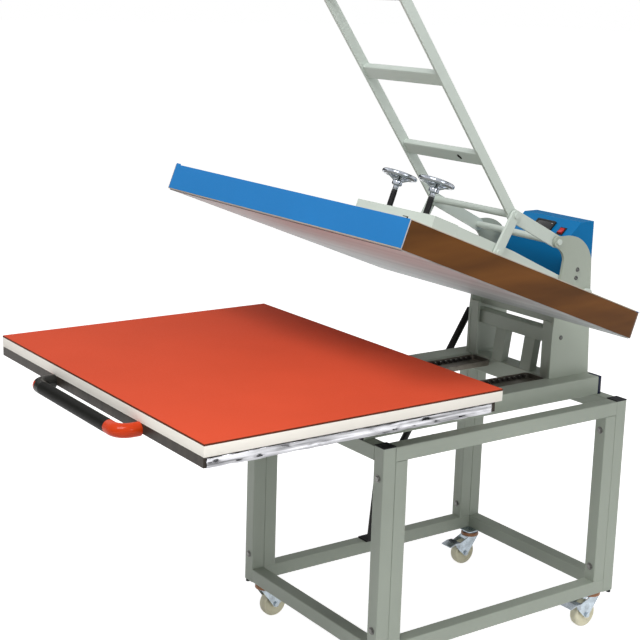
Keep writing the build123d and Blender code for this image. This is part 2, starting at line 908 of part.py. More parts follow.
def toggle_link():
    """Right link from the knee to the swing arm, with its pin."""
    outline = strap(knee_y, knee_z, link_pin_y, link_pin_z, link_radius)
    outline = outline - Pos(knee_y, knee_z) * Circle(knee_axle_radius + running_fit)
    link = plate(outline, link_inner_x, link_outer_x)
    pin = bar(arm_outer_x + link_gap, link_inner_x, link_pin_y, link_pin_z, knee_axle_radius)
    head_end = link_outer_x + pin_head_height
    head = bar(link_outer_x, head_end, link_pin_y, link_pin_z, knee_axle_radius + pin_head)
    return link + pin + head


def lever_shaft():
    """Fixed shaft of the lever with a round boss at each end."""
    end = column_outer_x + lever_boss_height
    shaft = bar(-end, end, lever_y, lever_z, lever_shaft_radius)
    for x0, x1 in ((-end, -column_outer_x), (column_outer_x, end)):
        shaft = shaft + bar(x0, x1, lever_y, lever_z, lever_shaft_radius + pin_head)
    return shaft


# Columns
def column():
    """Right column plate with its folded front flange."""
    toe = (column_foot_y, rail_top_z)
    heel = (column_foot_y + column_foot_depth, rail_top_z)
    bow = [(toe[0] + dy, toe[1] + dz) for dy, dz in (bow_start, bow_middle, bow_end)]
    throat = (toe[0] + throat_low[0], toe[1] + throat_low[1])
    throat_bend = [(lever_y + dy, lever_z + dz) for dy, dz in (throat_middle, throat_high)]
    crest = (lever_y, lever_z + head_rise)
    brow = (lever_y + head_reach, lever_z + head_rise)
    shoulder = [(lever_y + dy, lever_z + dz) for dy, dz in (shoulder_middle, shoulder_end)]
    edges = [
        Line(toe, bow[0]),
        ThreePointArc(*bow),
        Line(bow[2], throat),
        ThreePointArc(throat, *throat_bend),
        Polyline(throat_bend[1], crest, brow),
        ThreePointArc(brow, *shoulder),
        Polyline(shoulder[1], heel, toe),
    ]
    outline = make_face(edges)
    outline = outline + Pos(lever_y, lever_z) * Circle(head_radius)
    outline = outline - Pos(lever_y, lever_z) * Circle(lever_shaft_radius + seat_fit)
    outline = outline - Pos(hinge_y, hinge_z) * Circle(hinge_shaft_radius + running_fit)
    side = plate(outline, column_inner_x, column_outer_x)
    flange = block(
        column_inner_x - flange_width,
        column_inner_x + 1,
        column_foot_y + 3,
        column_foot_y + 3 + column_plate,
        rail_top_z,
        rail_top_z + flange_height,
    )
    return side + flange


def column_bracing():
    """Cross bar between the columns and the two braces that hold it."""
    half = stand_tube / 2
    cross = tube(
        -column_inner_x,
        column_inner_x,
        column_bar_y - half,
        column_bar_y + half,
        column_bar_z - half,
        column_bar_z + half,
        "x",
        stand_wall,
    )
    low_z = base_z + rear_member_height
    high_z = column_bar_z - half
    low_y = rear_member_y + 2
    high_y = column_bar_y - 6
    outline = polygon(
        (low_y, low_z),
        (low_y + brace_thickness, low_z),
        (high_y + brace_thickness, high_z),
        (high_y, high_z),
    )
    brace = plate(outline, brace_x - brace_width / 2, brace_x + brace_width / 2)
    return [cross] + pair(brace)


def cross_plate():
    """Plate between the columns above the cross bar, with a folded lower edge."""
    y1 = cross_plate_y + cross_plate_thickness
    z1 = cross_plate_z + cross_plate_height
    web = block(-column_inner_x, column_inner_x, cross_plate_y, y1, cross_plate_z, z1)
    fold_z = cross_plate_z + cross_plate_thickness
    fold_y = y1 + cross_plate_fold
    fold = block(-column_inner_x, column_inner_x, cross_plate_y, fold_y, cross_plate_z, fold_z)
    return web + fold


# Control box
def box_profile(inset):
    """Side view of the control box."""
    panel_y = panel_top_y - panel_drop_y
    panel_z = box_top_z - panel_drop_z
    profile = polygon(
        (box_front_y, box_bottom_z),
        (box_back_y, box_bottom_z),
        (box_back_y, box_top_z),
        (panel_top_y, box_top_z),
        (panel_y, panel_z),
        (box_front_y, panel_lip_z),
    )
    if inset:
        profile = offset(profile, -inset, kind=Kind.INTERSECTION)
    return profile


def panel_plane(up):
    """Plane on the slanted panel, its origin a distance up the slope from the panel's centre."""
    slope = hypot(panel_drop_y, panel_drop_z)
    direction = Vector(0, panel_drop_y / slope, panel_drop_z / slope)
    centre = Vector(0, panel_top_y - panel_drop_y / 2, box_top_z - panel_drop_z / 2) + direction * up
    return Plane(origin=centre, x_dir=(1, 0, 0), z_dir=(0, -direction.Z, direction.Y))


def on_panel(x, up, height, shape):
    """Place a shape on the panel."""
    return panel_plane(up).location * Pos(x, 0, height) * shape


def control_box():
    """Folded sheet housing, open at the back, with an ear to each column."""
    shell = plate(box_profile(0), -box_half_width, box_half_width)
    inner_half = box_half_width - box_sheet
    shell = shell - plate(box_profile(box_sheet), -inner_half, inner_half)
    shell = shell - block(
        -inner_half,
        inner_half,
        panel_top_y + 6,
        box_back_y + 1,
        box_bottom_z + box_sheet,
        box_top_z - box_sheet,
    )
    window = Box(controller_width - 8, controller_height - 8, 12)
    shell = shell - on_panel(controller_x, -controller_drop, 0, window)
    shell = shell - on_panel(switch_x, -switch_drop, 0, Box(switch_width - 4, switch_height - 4, 12))
    ear_y = box_front_y + ear_depth / 2
    ear_z = box_bottom_z + ear_rise
    ear = block(box_half_width - 1, column_inner_x, ear_y, ear_y + 3, ear_z, ear_z + ear_height)
    tab = block(
        column_inner_x - 3, column_inner_x, ear_y + 3 - ear_depth, ear_y + 3, ear_z, ear_z + ear_height
    )
    for piece in pair(ear + tab):
        shell = shell + piece
    return shell


def box_back():
    """Back cover inside the housing's rim."""
    inner_half = box_half_width - box_sheet
    z0 = box_bottom_z + box_sheet
    z1 = box_top_z - box_sheet
    return block(-inner_half, inner_half, box_back_y - 6, box_back_y - 4, z0, z1)


def power_inlet():
    """Recessed mains inlet on the back cover."""
    x = 60
    z = box_bottom_z + 34
    flange = block(x - 24, x + 24, box_back_y - 4, box_back_y - 1, z - 14, z + 14)
    recess = block(x - 13, x + 13, box_back_y - 10, box_back_y, z - 8, z + 8)
    flange = flange - recess
    for dx in (-4, 0, 4):
        flange = flange + block(x + dx - 1, x + dx + 1, box_back_y - 4, box_back_y - 2, z - 3, z + 3)
    return flange


def contactor():
    """Contactor that switches the heater, on the floor of the control box."""
    x0 = contactor_x - contactor_width / 2
    y0 = box_back_y - contactor_inset - contactor_depth
    z0 = box_bottom_z + box_sheet
    z1 = z0 + contactor_height
    body = block(x0, x0 + contactor_width, y0, y0 + contactor_depth, z0, z1)
    for index in range(3):
        slot_x = x0 + 6 + 13 * index
        body = body - block(slot_x, slot_x + 7, y0 + 5, y0 + 25, z1 - 10, z1 + 1)
    return body


def temperature_controller():
    """Digital controller: bezel over the panel and body behind it."""
    low = (Align.CENTER, Align.CENTER, Align.MIN)
    high = (Align.CENTER, Align.CENTER, Align.MAX)
    bezel = Box(controller_width, controller_height, controller_bezel, align=low)
    bezel = fillet(bezel.edges().filter_by(Axis.Z), 3)
    screen = Pos(0, 0, controller_bezel) * Box(controller_width - 10, controller_height - 10, 2)
    body = Box(controller_width - 9, controller_height - 9, controller_depth, align=high)
    return on_panel(controller_x, -controller_drop, 0, bezel - screen + body)


def switch_housing():
    """Bezel and cup of the rocker switch."""
    rim = Box(switch_width, switch_height, 2, align=(Align.CENTER, Align.CENTER, Align.MIN))
    cup = Box(switch_width - 5, switch_height - 5, 20, align=(Align.CENTER, Align.CENTER, Align.MAX))
    well = Pos(0, 0, -10) * Box(switch_width - 8, switch_height - 7, 26)
    housing = rim + cup - (well - Pos(0, 0, -19) * Box(30, 30, 8))
    housing = housing - Rot(0, 90, 0) * Cylinder(1.5 + running_fit, switch_width - 5.5)
    return on_panel(switch_x, -switch_drop, 0, housing)


def rocker():
    """Red rocker on its own trunnions, resting tilted to one side."""
    half_height = switch_height / 2 - 4.2
    face = polygon(
        (-half_height, -3), (-half_height + 1, 5.5), (0, 3.5), (half_height - 1, 5.5), (half_height, -3)
    )
    body = plate(face, -switch_width / 2 + 4 + play, switch_width / 2 - 4 - play)
    body = body + Rot(0, 90, 0) * Cylinder(1.5, switch_width - 6.2)
    return on_panel(switch_x, -switch_drop, 0, Rot(-rocker_tilt, 0, 0) * body)


# Column screws
def column_screws():
    """Screws of the control box's ears and bolts of the cross bar, on both columns."""
    places = [(box_front_y + dy, box_bottom_z + dz) for dy, dz in ear_screws]
    places.append((column_bar_y, column_bar_z))
    screws = []
    for y, z in places:
        head = bar(column_outer_x, column_outer_x + column_screw_head, y, z, column_screw_radius)
        head = chamfer(head.faces().sort_by(Axis.X)[-1].edges(), 1.2)
        screws += pair(head)
    return screws


# Balance strut
def along_strut(distance, radius, length):
    """Round bar along the strut, from a distance past its lower eye."""
    start = Pos(-strut_x, strut_low_y, strut_low_z) * Rot(strut_slope - 90, 0, 0)
    return start * Pos(0, 0, distance + length / 2) * Cylinder(radius, length)


def strut_eye(y, z):
    """Round eye at one end of the strut."""
    half = strut_eye_width / 2
    return bar(-strut_x - half, -strut_x + half, y, z, strut_eye_radius)


def strut_cylinder():
    """Cylinder of the strut with its lower eye."""
    eye = strut_eye(strut_low_y, strut_low_z)
    body = along_strut(6, strut_radius, strut_cylinder_length) + eye
    body = body - bar(-strut_x - 12, -strut_x + 12, strut_low_y, strut_low_z, strut_pin_radius + running_fit)
    bore = strut_overlap + 30
    return body - along_strut(strut_cylinder_length - bore + 10, strut_rod_radius + running_fit, bore)


def strut_rod():
    """Rod of the strut with its upper eye, which has play on the torque arm's pin."""
    length = hypot(strut_top_y - strut_low_y, strut_top_z - strut_low_z)
    start = strut_cylinder_length - strut_overlap
    eye = strut_eye(strut_top_y, strut_top_z)
    body = along_strut(start, strut_rod_radius, length - start - 4) + eye
    return body - bar(-strut_x - 12, -strut_x + 12, strut_top_y, strut_top_z, strut_pin_radius + strut_play)


def strut_bracket():
    """Bracket on the left bottom rail that carries the strut's lower eye."""
    rail_z = caster_height + stand_tube
    x1 = -strut_x - strut_eye_width / 2 - 6
    x0 = x1 - bracket_web
    y0 = strut_low_y - bracket_half_length
    y1 = strut_low_y + bracket_half_length
    foot = block(-stand_width / 2 + bracket_web, x1, y0, y1, rail_z, rail_z + bracket_foot)
    outline = polygon(
        (strut_low_y - bracket_web_base, rail_z),
        (strut_low_y + bracket_web_base, rail_z),
        (strut_low_y + bracket_web_top, strut_low_z),
        (strut_low_y - bracket_web_top, strut_low_z),
    )
    outline = outline + Pos(strut_low_y, strut_low_z) * Circle(bracket_web_top)
    pin = bar(x1 - 1, -strut_x + strut_eye_width / 2 + 4, strut_low_y, strut_low_z, strut_pin_radius)
    return foot + plate(outline, x0, x1) + pin


# Write the sub-parts
os.makedirs("parts", exist_ok=True)

save("stand_end_frames", *end_frame(0), *end_frame(stand_depth - stand_tube))
save("stand_side_frames", *side_frame(), *[mirror(piece, about=Plane.YZ) for piece in side_frame()])
save("frame_bolts", *stand_bolts(), *column_screws())
save("tube_end_plugs", *end_plugs())
save("base_frame", *base_frame())
save("slide_channels", *pair(slide_channel()))
save("slide_ball_rows", *[piece for row in ball_rows() for piece in pair(row)])

save("caster_plates", *[place * caster_plate_piece() for _, place in caster_places()])
for name, place in caster_places():
    save(f"caster_fork_{name}", *[place * piece for piece in caster_fork()])
    save(f"caster_wheel_{name}", place * caster_wheel())
    save(f"caster_pedal_{name}", place * caster_pedal())

save("columns", *pair(column()))
save("column_bracing", *column_bracing())
save("column_cross_plate", cross_plate())
save("lever_shaft", lever_shaft())

save("control_box", control_box())
save("control_box_back", box_back())
save("power_inlet", power_inlet())
save("contactor", contactor())
save("temperature_controller", temperature_controller())
save("switch_housing", switch_housing())
save("rocker_switch", rocker())

save("drawer_tray", drawer_tray())
save("slide_runners", *pair(runner()))
half_width = platen_width / 2
save("lower_board", block(-half_width, half_width, pad_front_y, pad_front_y + pad_depth, board_z, pad_z))
save("silicone_pad", block(-half_width, half_width, pad_front_y, pad_front_y + pad_depth, pad_z, pad_top_z))
save("foil_wrap", foil_wrap())
handle_core, handle_grip, handle_elbows = handle_pieces()
save("drawer_handle", handle_core)
save("handle_grip", handle_grip)
save("handle_elbows", *handle_elbows)

save("heating_plate", opened(heating_plate()))
save("heating_element", opened(heating_element()))
save("platen_insulation", opened(insulation()))
save("platen_cover", opened(platen_cover()))
save("platen_side_panels", opened(side_panels()))
save("platen_seats", *[opened(piece) for piece in platen_seats()])

save("swing_channel", *[opened(piece) for piece in cross_channel()])
hinge_bore = hinge_shaft_radius + seat_fit
hinge_tube = pipe(-arm_inner_x, arm_inner_x, hinge_y, hinge_z, hinge_tube_radius, hinge_bore)
swing_pieces = pair(swing_arm()) + pair(guide_lug()) + [hinge_tube]
save("swing_arms", *[opened(piece) for piece in swing_pieces])
save("hinge_shaft", hinge_shaft(), torque_arm())

for side, x in (("left", -screw_x), ("right", screw_x)):
    save(f"pressure_screw_{side}", opened(pressure_screw(x)))
    save(f"handwheel_{side}", opened(handwheel(x)))

save("lever_side_bars", *pair(lever_side_bar()))
save("ladder_rungs", *rungs())
save("lever_tubes", *lever_tubes())
save("knee_axle", knee_axle())
save("toggle_links", *pair(toggle_link()))

save("strut_cylinder", strut_cylinder())
save("strut_rod", strut_rod())
save("strut_bracket", strut_bracket())

print("origin is", origin_y, "behind the stand's front face")
print("knee", knee_y, knee_z, "link pin", link_pin_y, link_pin_z)
print("strut eyes", strut_low_y, strut_low_z, strut_top_y, strut_top_z, "slope", strut_slope)
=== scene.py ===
# %% [markdown]
# A large manual heat press
#
# This lesson dresses a finished CAD frame of a clamshell heat press: a wheeled stand of painted
# square tube, a pull-out table with an orange silicone pad, a tilting heated platen, a ladder
# lever, two chrome handwheels and a blue control box. The frame gives every piece its place, so
# each cell only asks what the real surface looks like and how Blender can make it.

# %% Load the frame
import json
import math

import bmesh
import bpy
from mathutils import Matrix, Vector, noise


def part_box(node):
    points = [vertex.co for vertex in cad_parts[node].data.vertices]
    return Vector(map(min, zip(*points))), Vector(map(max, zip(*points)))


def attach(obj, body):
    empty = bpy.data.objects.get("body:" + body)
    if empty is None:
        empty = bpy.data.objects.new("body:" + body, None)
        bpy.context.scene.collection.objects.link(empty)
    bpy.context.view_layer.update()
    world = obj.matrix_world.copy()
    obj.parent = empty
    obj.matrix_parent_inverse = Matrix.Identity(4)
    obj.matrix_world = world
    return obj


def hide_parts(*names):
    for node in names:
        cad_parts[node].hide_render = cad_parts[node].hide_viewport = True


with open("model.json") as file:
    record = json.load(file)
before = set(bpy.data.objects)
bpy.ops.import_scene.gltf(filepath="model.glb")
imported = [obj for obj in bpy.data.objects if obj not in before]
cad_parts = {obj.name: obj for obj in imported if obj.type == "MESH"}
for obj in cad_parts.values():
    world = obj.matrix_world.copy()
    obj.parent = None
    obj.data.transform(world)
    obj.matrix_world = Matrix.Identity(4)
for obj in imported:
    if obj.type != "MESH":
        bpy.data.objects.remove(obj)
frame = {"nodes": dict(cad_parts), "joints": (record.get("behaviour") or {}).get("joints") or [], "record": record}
NODES = frame["nodes"]
JOINTS = {joint["name"]: joint for joint in frame["joints"]}
BEHAVIOUR = frame["record"]["behaviour"]
BODY_OF = {node: body for body, nodes in BEHAVIOUR["bodies"].items() for node in nodes}
SLOTS = {row["node"]: row["material_slot"] for row in frame["record"]["subparts"]}
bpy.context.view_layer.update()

# %% [markdown]
# The press was drawn in millimetres from the front face of its stand and from the floor, while the
# frame's origin lies 86.5 mm behind that face. Lengths are easier to think about in the drawing's
# own units, so two small functions turn a point into the frame's metres and back. The swing frame
# is drawn closed, as it sits on the work, and a third one lifts such a point to the open rest pose.

# %% Places
MM = 0.001
ORIGIN_Y = 86.5
HINGE = Vector(JOINTS["swing_hinge"]["pos_m"])
OPENING = math.radians(JOINTS["swing_hinge"]["range_deg"][1])
OPENED = Matrix.Translation(HINGE) @ Matrix.Rotation(-OPENING, 4, "X") @ Matrix.Translation(-HINGE)


def at(x, y, z):
    """A point of the drawing, in the frame's metres."""
    return Vector((x, y - ORIGIN_Y, z)) * MM


def drawn(corner):
    """A point of the frame, in the drawing's millimetres."""
    return (corner[0] / MM, corner[1] / MM + ORIGIN_Y, corner[2] / MM)


def opened(x, y, z):
    """A point of the closed swing frame, lifted to where it rests open."""
    return OPENED @ at(x, y, z)


print("the swing frame rests open by", round(math.degrees(OPENING), 1), "degrees")

# %% [markdown]
# The camera stands to the front right of the press and a little above it. Its place, its turn and
# its lens were worked out once from the straight edges of the press, so they are plain numbers here.

# %% Camera
CAMERA_AT = Vector((2.7392, -2.0505, 1.7074))
CAMERA_AZIMUTH = math.radians(54.798)
CAMERA_DOWN = math.radians(11.761)
CAMERA_ROLL = math.radians(1.686)
CAMERA_LENS = 78.03
CAMERA_SHIFT = (0.0225, -0.0605)
CAMERA_FAR = 200


def add_camera():
    """A long-lens camera that looks at the press from its front right."""
    forward = Vector((
        -math.sin(CAMERA_AZIMUTH) * math.cos(CAMERA_DOWN),
        math.cos(CAMERA_AZIMUTH) * math.cos(CAMERA_DOWN),
        -math.sin(CAMERA_DOWN),
    ))
    level = Vector((math.cos(CAMERA_AZIMUTH), math.sin(CAMERA_AZIMUTH), 0))
    upright = level.cross(forward)
    right = level * math.cos(CAMERA_ROLL) + upright * math.sin(CAMERA_ROLL)
    up = upright * math.cos(CAMERA_ROLL) - level * math.sin(CAMERA_ROLL)
    turn = Matrix((right, up, -forward)).transposed().to_4x4()
    data = bpy.data.cameras.new("camera")
    data.lens = CAMERA_LENS
    data.shift_x, data.shift_y = CAMERA_SHIFT
    data.clip_end = CAMERA_FAR
    camera = bpy.data.objects.new("camera", data)
    bpy.context.scene.collection.objects.link(camera)
    camera.matrix_world = Matrix.Translation(CAMERA_AT) @ turn
    bpy.context.scene.camera = camera


add_camera()
print("camera:", CAMERA_LENS, "mm")

# %% [markdown]
# A node tree is easier to read when each node is one short call. These helpers add a node, set its
# values, join it to others and read what a maths node makes of two values. They serve shader trees
# and geometry trees alike.

# %% Node helpers
def add_node(tree, kind, inputs=(), **settings):
    """A node with its settings and its input values or links."""
    node = tree.nodes.new(kind)
    for name, value in settings.items():
        setattr(node, name, value)
    for name, value in dict(inputs).items():
        if isinstance(value, bpy.types.NodeSocket):
            tree.links.new(value, node.inputs[name])
        else:
            node.inputs[name].default_value = value
    return node


def maths(tree, operation, one, two, kind="ShaderNodeMath", output=0):
    """What a maths node makes of two values or links."""
    return add_node(tree, kind, {0: one, 1: two}, operation=operation).outputs[output]


def ramp(tree, factor, stops):
    """A colour ramp: stops are (position, colour)."""
    node = add_node(tree, "ShaderNodeValToRGB", {"Fac": factor})
    elements = node.color_ramp.elements
    while len(elements) < len(stops):
        elements.new(0.5)
    for element, (place, colour) in zip(elements, stops):
        element.position = place
        element.color = (*colour, 1)
    return node.outputs["Color"]


def shade(colour, factor):
    """A colour made darker or lighter."""
    return tuple(min(1, part * factor) for part in colour)


# %% [markdown]
# Soft studio light: an even room, a large lamp high in front of the press, one on its right and a
# weak one on its left. The table then shades the front of the stand, as it does in a workshop. The
# room and the floor are plain white to the eye, and the floor still takes a faint shadow. Four dark
# cards that only reflections see give chrome something to mirror, as a photographer's flags do.

# %% Light and floor
ROOM_LEVEL = 0.28
FLOOR_GLOW = 0.80
FLOOR_REACH = 60
FLOOR_MATT = (0.8, 0.8, 0.8, 1)
CARD_DARK = (0.015, 0.017, 0.022, 1)
WHITE = (1, 1, 1, 1)


def add_room():
    """World light that is white to the eye and dimmer as light."""
    scene = bpy.context.scene
    scene.view_settings.view_transform = "Standard"
    world = bpy.data.worlds.new("studio")
    world.use_nodes = True
    scene.world = world
    tree = world.node_tree
    tree.nodes.clear()
    path = add_node(tree, "ShaderNodeLightPath")
    seen = maths(tree, "MAXIMUM", path.outputs["Is Camera Ray"], path.outputs["Is Transmission Ray"])
    seen = maths(tree, "MAXIMUM", seen, path.outputs["Is Glossy Ray"])
    light = add_node(tree, "ShaderNodeBackground", {"Color": WHITE, "Strength": ROOM_LEVEL})
    backdrop = add_node(tree, "ShaderNodeBackground", {"Color": WHITE, "Strength": 1.0})
    mix = add_node(tree, "ShaderNodeMixShader", {0: seen, 1: light.outputs[0], 2: backdrop.outputs[0]})
    add_node(tree, "ShaderNodeOutputWorld", {"Surface": mix.outputs[0]})


def add_lamp(name, place, target, size, power):
    """A square soft lamp that faces a target."""
    data = bpy.data.lights.new(name, "AREA")
    data.size = size
    data.energy = power
    lamp = bpy.data.objects.new(name, data)
    bpy.context.scene.collection.objects.link(lamp)
    lamp.matrix_world = Matrix.Translation(place)
    direction = Vector(target) - Vector(place)
    lamp.rotation_mode = "QUATERNION"
    lamp.rotation_quaternion = direction.to_track_quat("-Z", "Y")


def stage_sheet(name, corners, material):
    """A flat four-cornered sheet that belongs to the studio."""
    mesh = bpy.data.meshes.new(name)
    mesh.from_pydata(corners, [], [(0, 1, 2, 3)])
    mesh.materials.append(material)
    sheet = bpy.data.objects.new(name, mesh)
    bpy.context.scene.collection.objects.link(sheet)
    return sheet


def add_floor():
    """A wide pale floor that stays white round a faint shadow."""
    material = bpy.data.materials.new("floor_white")
    material.use_nodes = True
    tree = material.node_tree
    tree.nodes.clear()
    path = add_node(tree, "ShaderNodeLightPath")
    matt = add_node(tree, "ShaderNodeBsdfDiffuse", {"Color": FLOOR_MATT})
    glow = add_node(tree, "ShaderNodeEmission", {"Color": WHITE, "Strength": FLOOR_GLOW})
    both = add_node(tree, "ShaderNodeAddShader", {0: matt.outputs[0], 1: glow.outputs[0]})
    seen = maths(tree, "MAXIMUM", path.outputs["Is Camera Ray"], path.outputs["Is Glossy Ray"])
    mix = add_node(tree, "ShaderNodeMixShader", {0: seen, 1: matt.outputs[0], 2: both.outputs[0]})
    add_node(tree, "ShaderNodeOutputMaterial", {"Surface": mix.outputs[0]})
    reach = FLOOR_REACH
    corners = [(-reach, -reach, 0), (reach, -reach, 0), (reach, reach, 0), (-reach, reach, 0)]
    stage_sheet("floor", corners, material)


def add_dark_card(name, centre, width, height):
    """A dark upright card that faces the press and is seen in reflections only."""
    material = bpy.data.materials.new(name)
    material.use_nodes = True
    shader = material.node_tree.nodes["Principled BSDF"]
    shader.inputs["Base Color"].default_value = CARD_DARK
    shader.inputs["Roughness"].default_value = 1.0
    shader.inputs["Specular IOR Level"].default_value = 0.0
    centre = Vector(centre)
    inward = Vector((-centre.x, -centre.y, 0)).normalized()
    side = Vector((-inward.y, inward.x, 0)) * width / 2
    up = Vector((0, 0, height / 2))
    corners = [centre - side - up, centre + side - up, centre + side + up, centre - side + up]
    card = stage_sheet(name, corners, material)
    card.visible_camera = False
    card.visible_diffuse = False
    card.visible_transmission = False
    card.visible_shadow = False


add_room()
add_floor()
add_lamp("key_lamp", place=(1.6, -3.0, 5.4), target=(0, 0, 0.9), size=2.6, power=250)
add_lamp("fill_lamp", place=(-3.6, -1.4, 2.8), target=(0, 0, 0.9), size=3.0, power=20)
add_lamp("side_lamp", place=(4.6, 0.6, 2.4), target=(0, 0, 0.7), size=2.0, power=70)
add_dark_card("card_left", centre=(-3.0, -0.8, 1.6), width=3.2, height=1.5)
add_dark_card("card_right", centre=(3.4, 1.6, 1.4), width=2.4, height=1.3)
add_dark_card("card_front", centre=(0.6, -4.2, 1.1), width=3.0, height=0.9)
add_dark_card("card_behind", centre=(-4.2, 3.0, 1.6), width=7.0, height=3.0)
print("studio: room, floor, 3 lamps, 4 cards")

# %% [markdown]
# Most finishes here are one recipe: a base colour that drifts a little over the piece, a fine grain
# that changes the gloss, and a small bump. One function makes them, and each finish names its own
# colour, gloss and grain size. A stretch factor draws the drift out into streaks along one axis.

# %% Finish helper
DRIFT_STOPS = (0.32, 0.68)
GRAIN_SPAN = (0.3, 0.7)
GRAIN_HEIGHT = 0.0005
LEAST_ROUGH = 0.02


def finish(
    name, colour, rough, metal=0.0, drift=0.06, drift_scale=3.0, stretch=(1, 1, 1), turn=(0, 0, 0),
    grain=900.0, bump=0.02, coat=0.0, spread=0.06, specular=0.5,
):
    """A procedural surface: drifting colour, grain in its gloss and a fine bump."""
    material = bpy.data.materials.new(name)
    material.use_nodes = True
    tree = material.node_tree
    tree.nodes.clear()
    place = add_node(tree, "ShaderNodeTexCoord").outputs["Object"]
    streaks = add_node(tree, "ShaderNodeMapping", {"Vector": place, "Scale": stretch, "Rotation": turn})
    cloud = add_node(
        tree, "ShaderNodeTexNoise", {"Vector": streaks.outputs[0], "Scale": drift_scale, "Detail": 3.0}
    )
    fine = add_node(tree, "ShaderNodeTexNoise", {"Vector": place, "Scale": grain, "Detail": 2.0})
    dark = shade(colour, 1 - drift)
    light = shade(colour, 1 + drift)
    tint = ramp(tree, cloud.outputs["Fac"], [(DRIFT_STOPS[0], dark), (DRIFT_STOPS[1], light)])
    gloss = add_node(tree, "ShaderNodeMapRange", {
        "Value": fine.outputs["Fac"],
        "From Min": GRAIN_SPAN[0],
        "From Max": GRAIN_SPAN[1],
        "To Min": max(LEAST_ROUGH, rough - spread),
        "To Max": rough + spread,
    })
    relief = add_node(
        tree, "ShaderNodeBump", {"Height": fine.outputs["Fac"], "Strength": bump, "Distance": GRAIN_HEIGHT}
    )
    shader = add_node(tree, "ShaderNodeBsdfPrincipled", {
        "Base Color": tint,
        "Roughness": gloss.outputs[0],
        "Normal": relief.outputs[0],
        "Metallic": metal,
        "Coat Weight": coat,
        "Specular IOR Level": specular,
    })
    add_node(tree, "ShaderNodeOutputMaterial", {"Surface": shader.outputs[0]})
    return material


# %% [markdown]
# The finishes follow the pieces from the floor up. The stand wears a grey-green powder coat and the
# lever a paler one. Zinc-plated sheet is dull and blotchy, chrome is almost a mirror. The tray's
# bare sheet is streaked down its height and the heating plate along its length. The brown film on
# the platen's sides gets slanting lighter bands, which are painted sheen.

# %% Finishes
FINISHES = {
    "frame_paint": finish("frame_paint", (0.350, 0.390, 0.330), 0.45, drift=0.05, grain=420, bump=0.05),
    "pale_paint": finish("pale_paint", (0.55, 0.61, 0.56), 0.42, drift=0.04, grain=420, bump=0.05),
    "black_plastic": finish("black_plastic", (0.010, 0.011, 0.014), 0.5, grain=700, bump=0.1, specular=0.2),
    "zinc": finish("zinc", (0.19, 0.19, 0.18), 0.40, metal=0.9, drift=0.25, drift_scale=60),
    "slide_steel": finish("slide_steel", (0.17, 0.155, 0.13), 0.38, metal=0.8, drift=0.25, drift_scale=20),
    "caster_nylon": finish("caster_nylon", (0.82, 0.78, 0.58), 0.42, drift=0.08, drift_scale=30),
    "caster_steel": finish("caster_steel", (0.44, 0.50, 0.55), 0.26, metal=0.85, drift=0.25, drift_scale=50),
    "pedal_dark": finish("pedal_dark", (0.36, 0.40, 0.44), 0.28, metal=0.85, drift=0.2, drift_scale=50),
    "box_blue": finish(
        "box_blue", (0.001, 0.155, 0.390), 0.42, drift=0.04, grain=500, bump=0.04, specular=0.12
    ),
    "instrument_black": finish("instrument_black", (0.012, 0.012, 0.012), 0.35, drift=0.1, specular=0.2),
    "switch_red": finish("switch_red", (0.48, 0.005, 0.008), 0.25, drift=0.08, specular=0.3),
    "tray_steel": finish(
        "tray_steel", (0.034, 0.027, 0.021), 0.42, metal=0.2, drift=0.35, drift_scale=5,
        stretch=(9, 9, 0.6), specular=0.2,
    ),
    "board_white": finish(
        "board_white", (0.88, 0.84, 0.77), 0.6, drift=0.03, grain=260, bump=0.06, specular=0.3
    ),
    "pad_orange": finish(
        "pad_orange", (0.62, 0.075, 0.030), 0.75, drift=0.04, grain=340, bump=0.05, specular=0.15
    ),
    # Painted shade: the dark strip round the pad stands for the shade in its gap to the board.
    "pad_gap_shade": finish("pad_gap_shade", (0.11, 0.028, 0.014), 0.8, specular=0.1),
    "foil": finish(
        "foil", (0.44, 0.44, 0.46), 0.17, metal=1.0, drift=0.6, drift_scale=9, stretch=(8, 0.6, 16)
    ),
    "grip_black": finish("grip_black", (0.006, 0.006, 0.005), 0.5, grain=600, bump=0.1, specular=0.08),
    "elbow_orange": finish("elbow_orange", (0.58, 0.045, 0.006), 0.3, drift=0.04, coat=0.12, specular=0.1),
    "handle_steel": finish("handle_steel", (0.30, 0.30, 0.30), 0.30, metal=1.0),
    "plate_aluminium": finish(
        "plate_aluminium", (0.40, 0.42, 0.42), 0.5, metal=0.25, drift=0.16, drift_scale=2.6,
        stretch=(0.3, 6, 1),
    ),
    "heater_steel": finish("heater_steel", (0.15, 0.15, 0.15), 0.5, metal=0.9),
    "insulation_wool": finish(
        "insulation_wool", (0.62, 0.58, 0.42), 0.9, drift=0.15, drift_scale=40, bump=0.4
    ),
    "cover_blue": finish(
        "cover_blue", (0.008, 0.185, 0.500), 0.5, drift=0.05, grain=420, bump=0.05, specular=0.25
    ),
    # The slanting lighter bands in the brown film are painted sheen.
    "panel_brown": finish(
        "panel_brown", (0.128, 0.048, 0.010), 0.34, drift=0.30, drift_scale=2.0,
        stretch=(1, 1.2, 8), turn=(math.radians(38), 0, 0), grain=300, bump=0.03, specular=0.12,
    ),
    "seat_steel": finish("seat_steel", (0.45, 0.45, 0.44), 0.32, metal=0.95, drift=0.1, drift_scale=30),
    "wheel_chrome": finish("wheel_chrome", (0.42, 0.45, 0.50), 0.15, metal=1.0, drift=0.02, spread=0.03),
    "screw_black": finish("screw_black", (0.010, 0.010, 0.011), 0.32, metal=0.2, specular=0.4),
    "strut_black": finish("strut_black", (0.008, 0.008, 0.008), 0.4, specular=0.2),
}
for node, slot in SLOTS.items():
    for place in NODES[node].material_slots:
        place.material = FINISHES[slot]
print("finishes:", len(FINISHES))
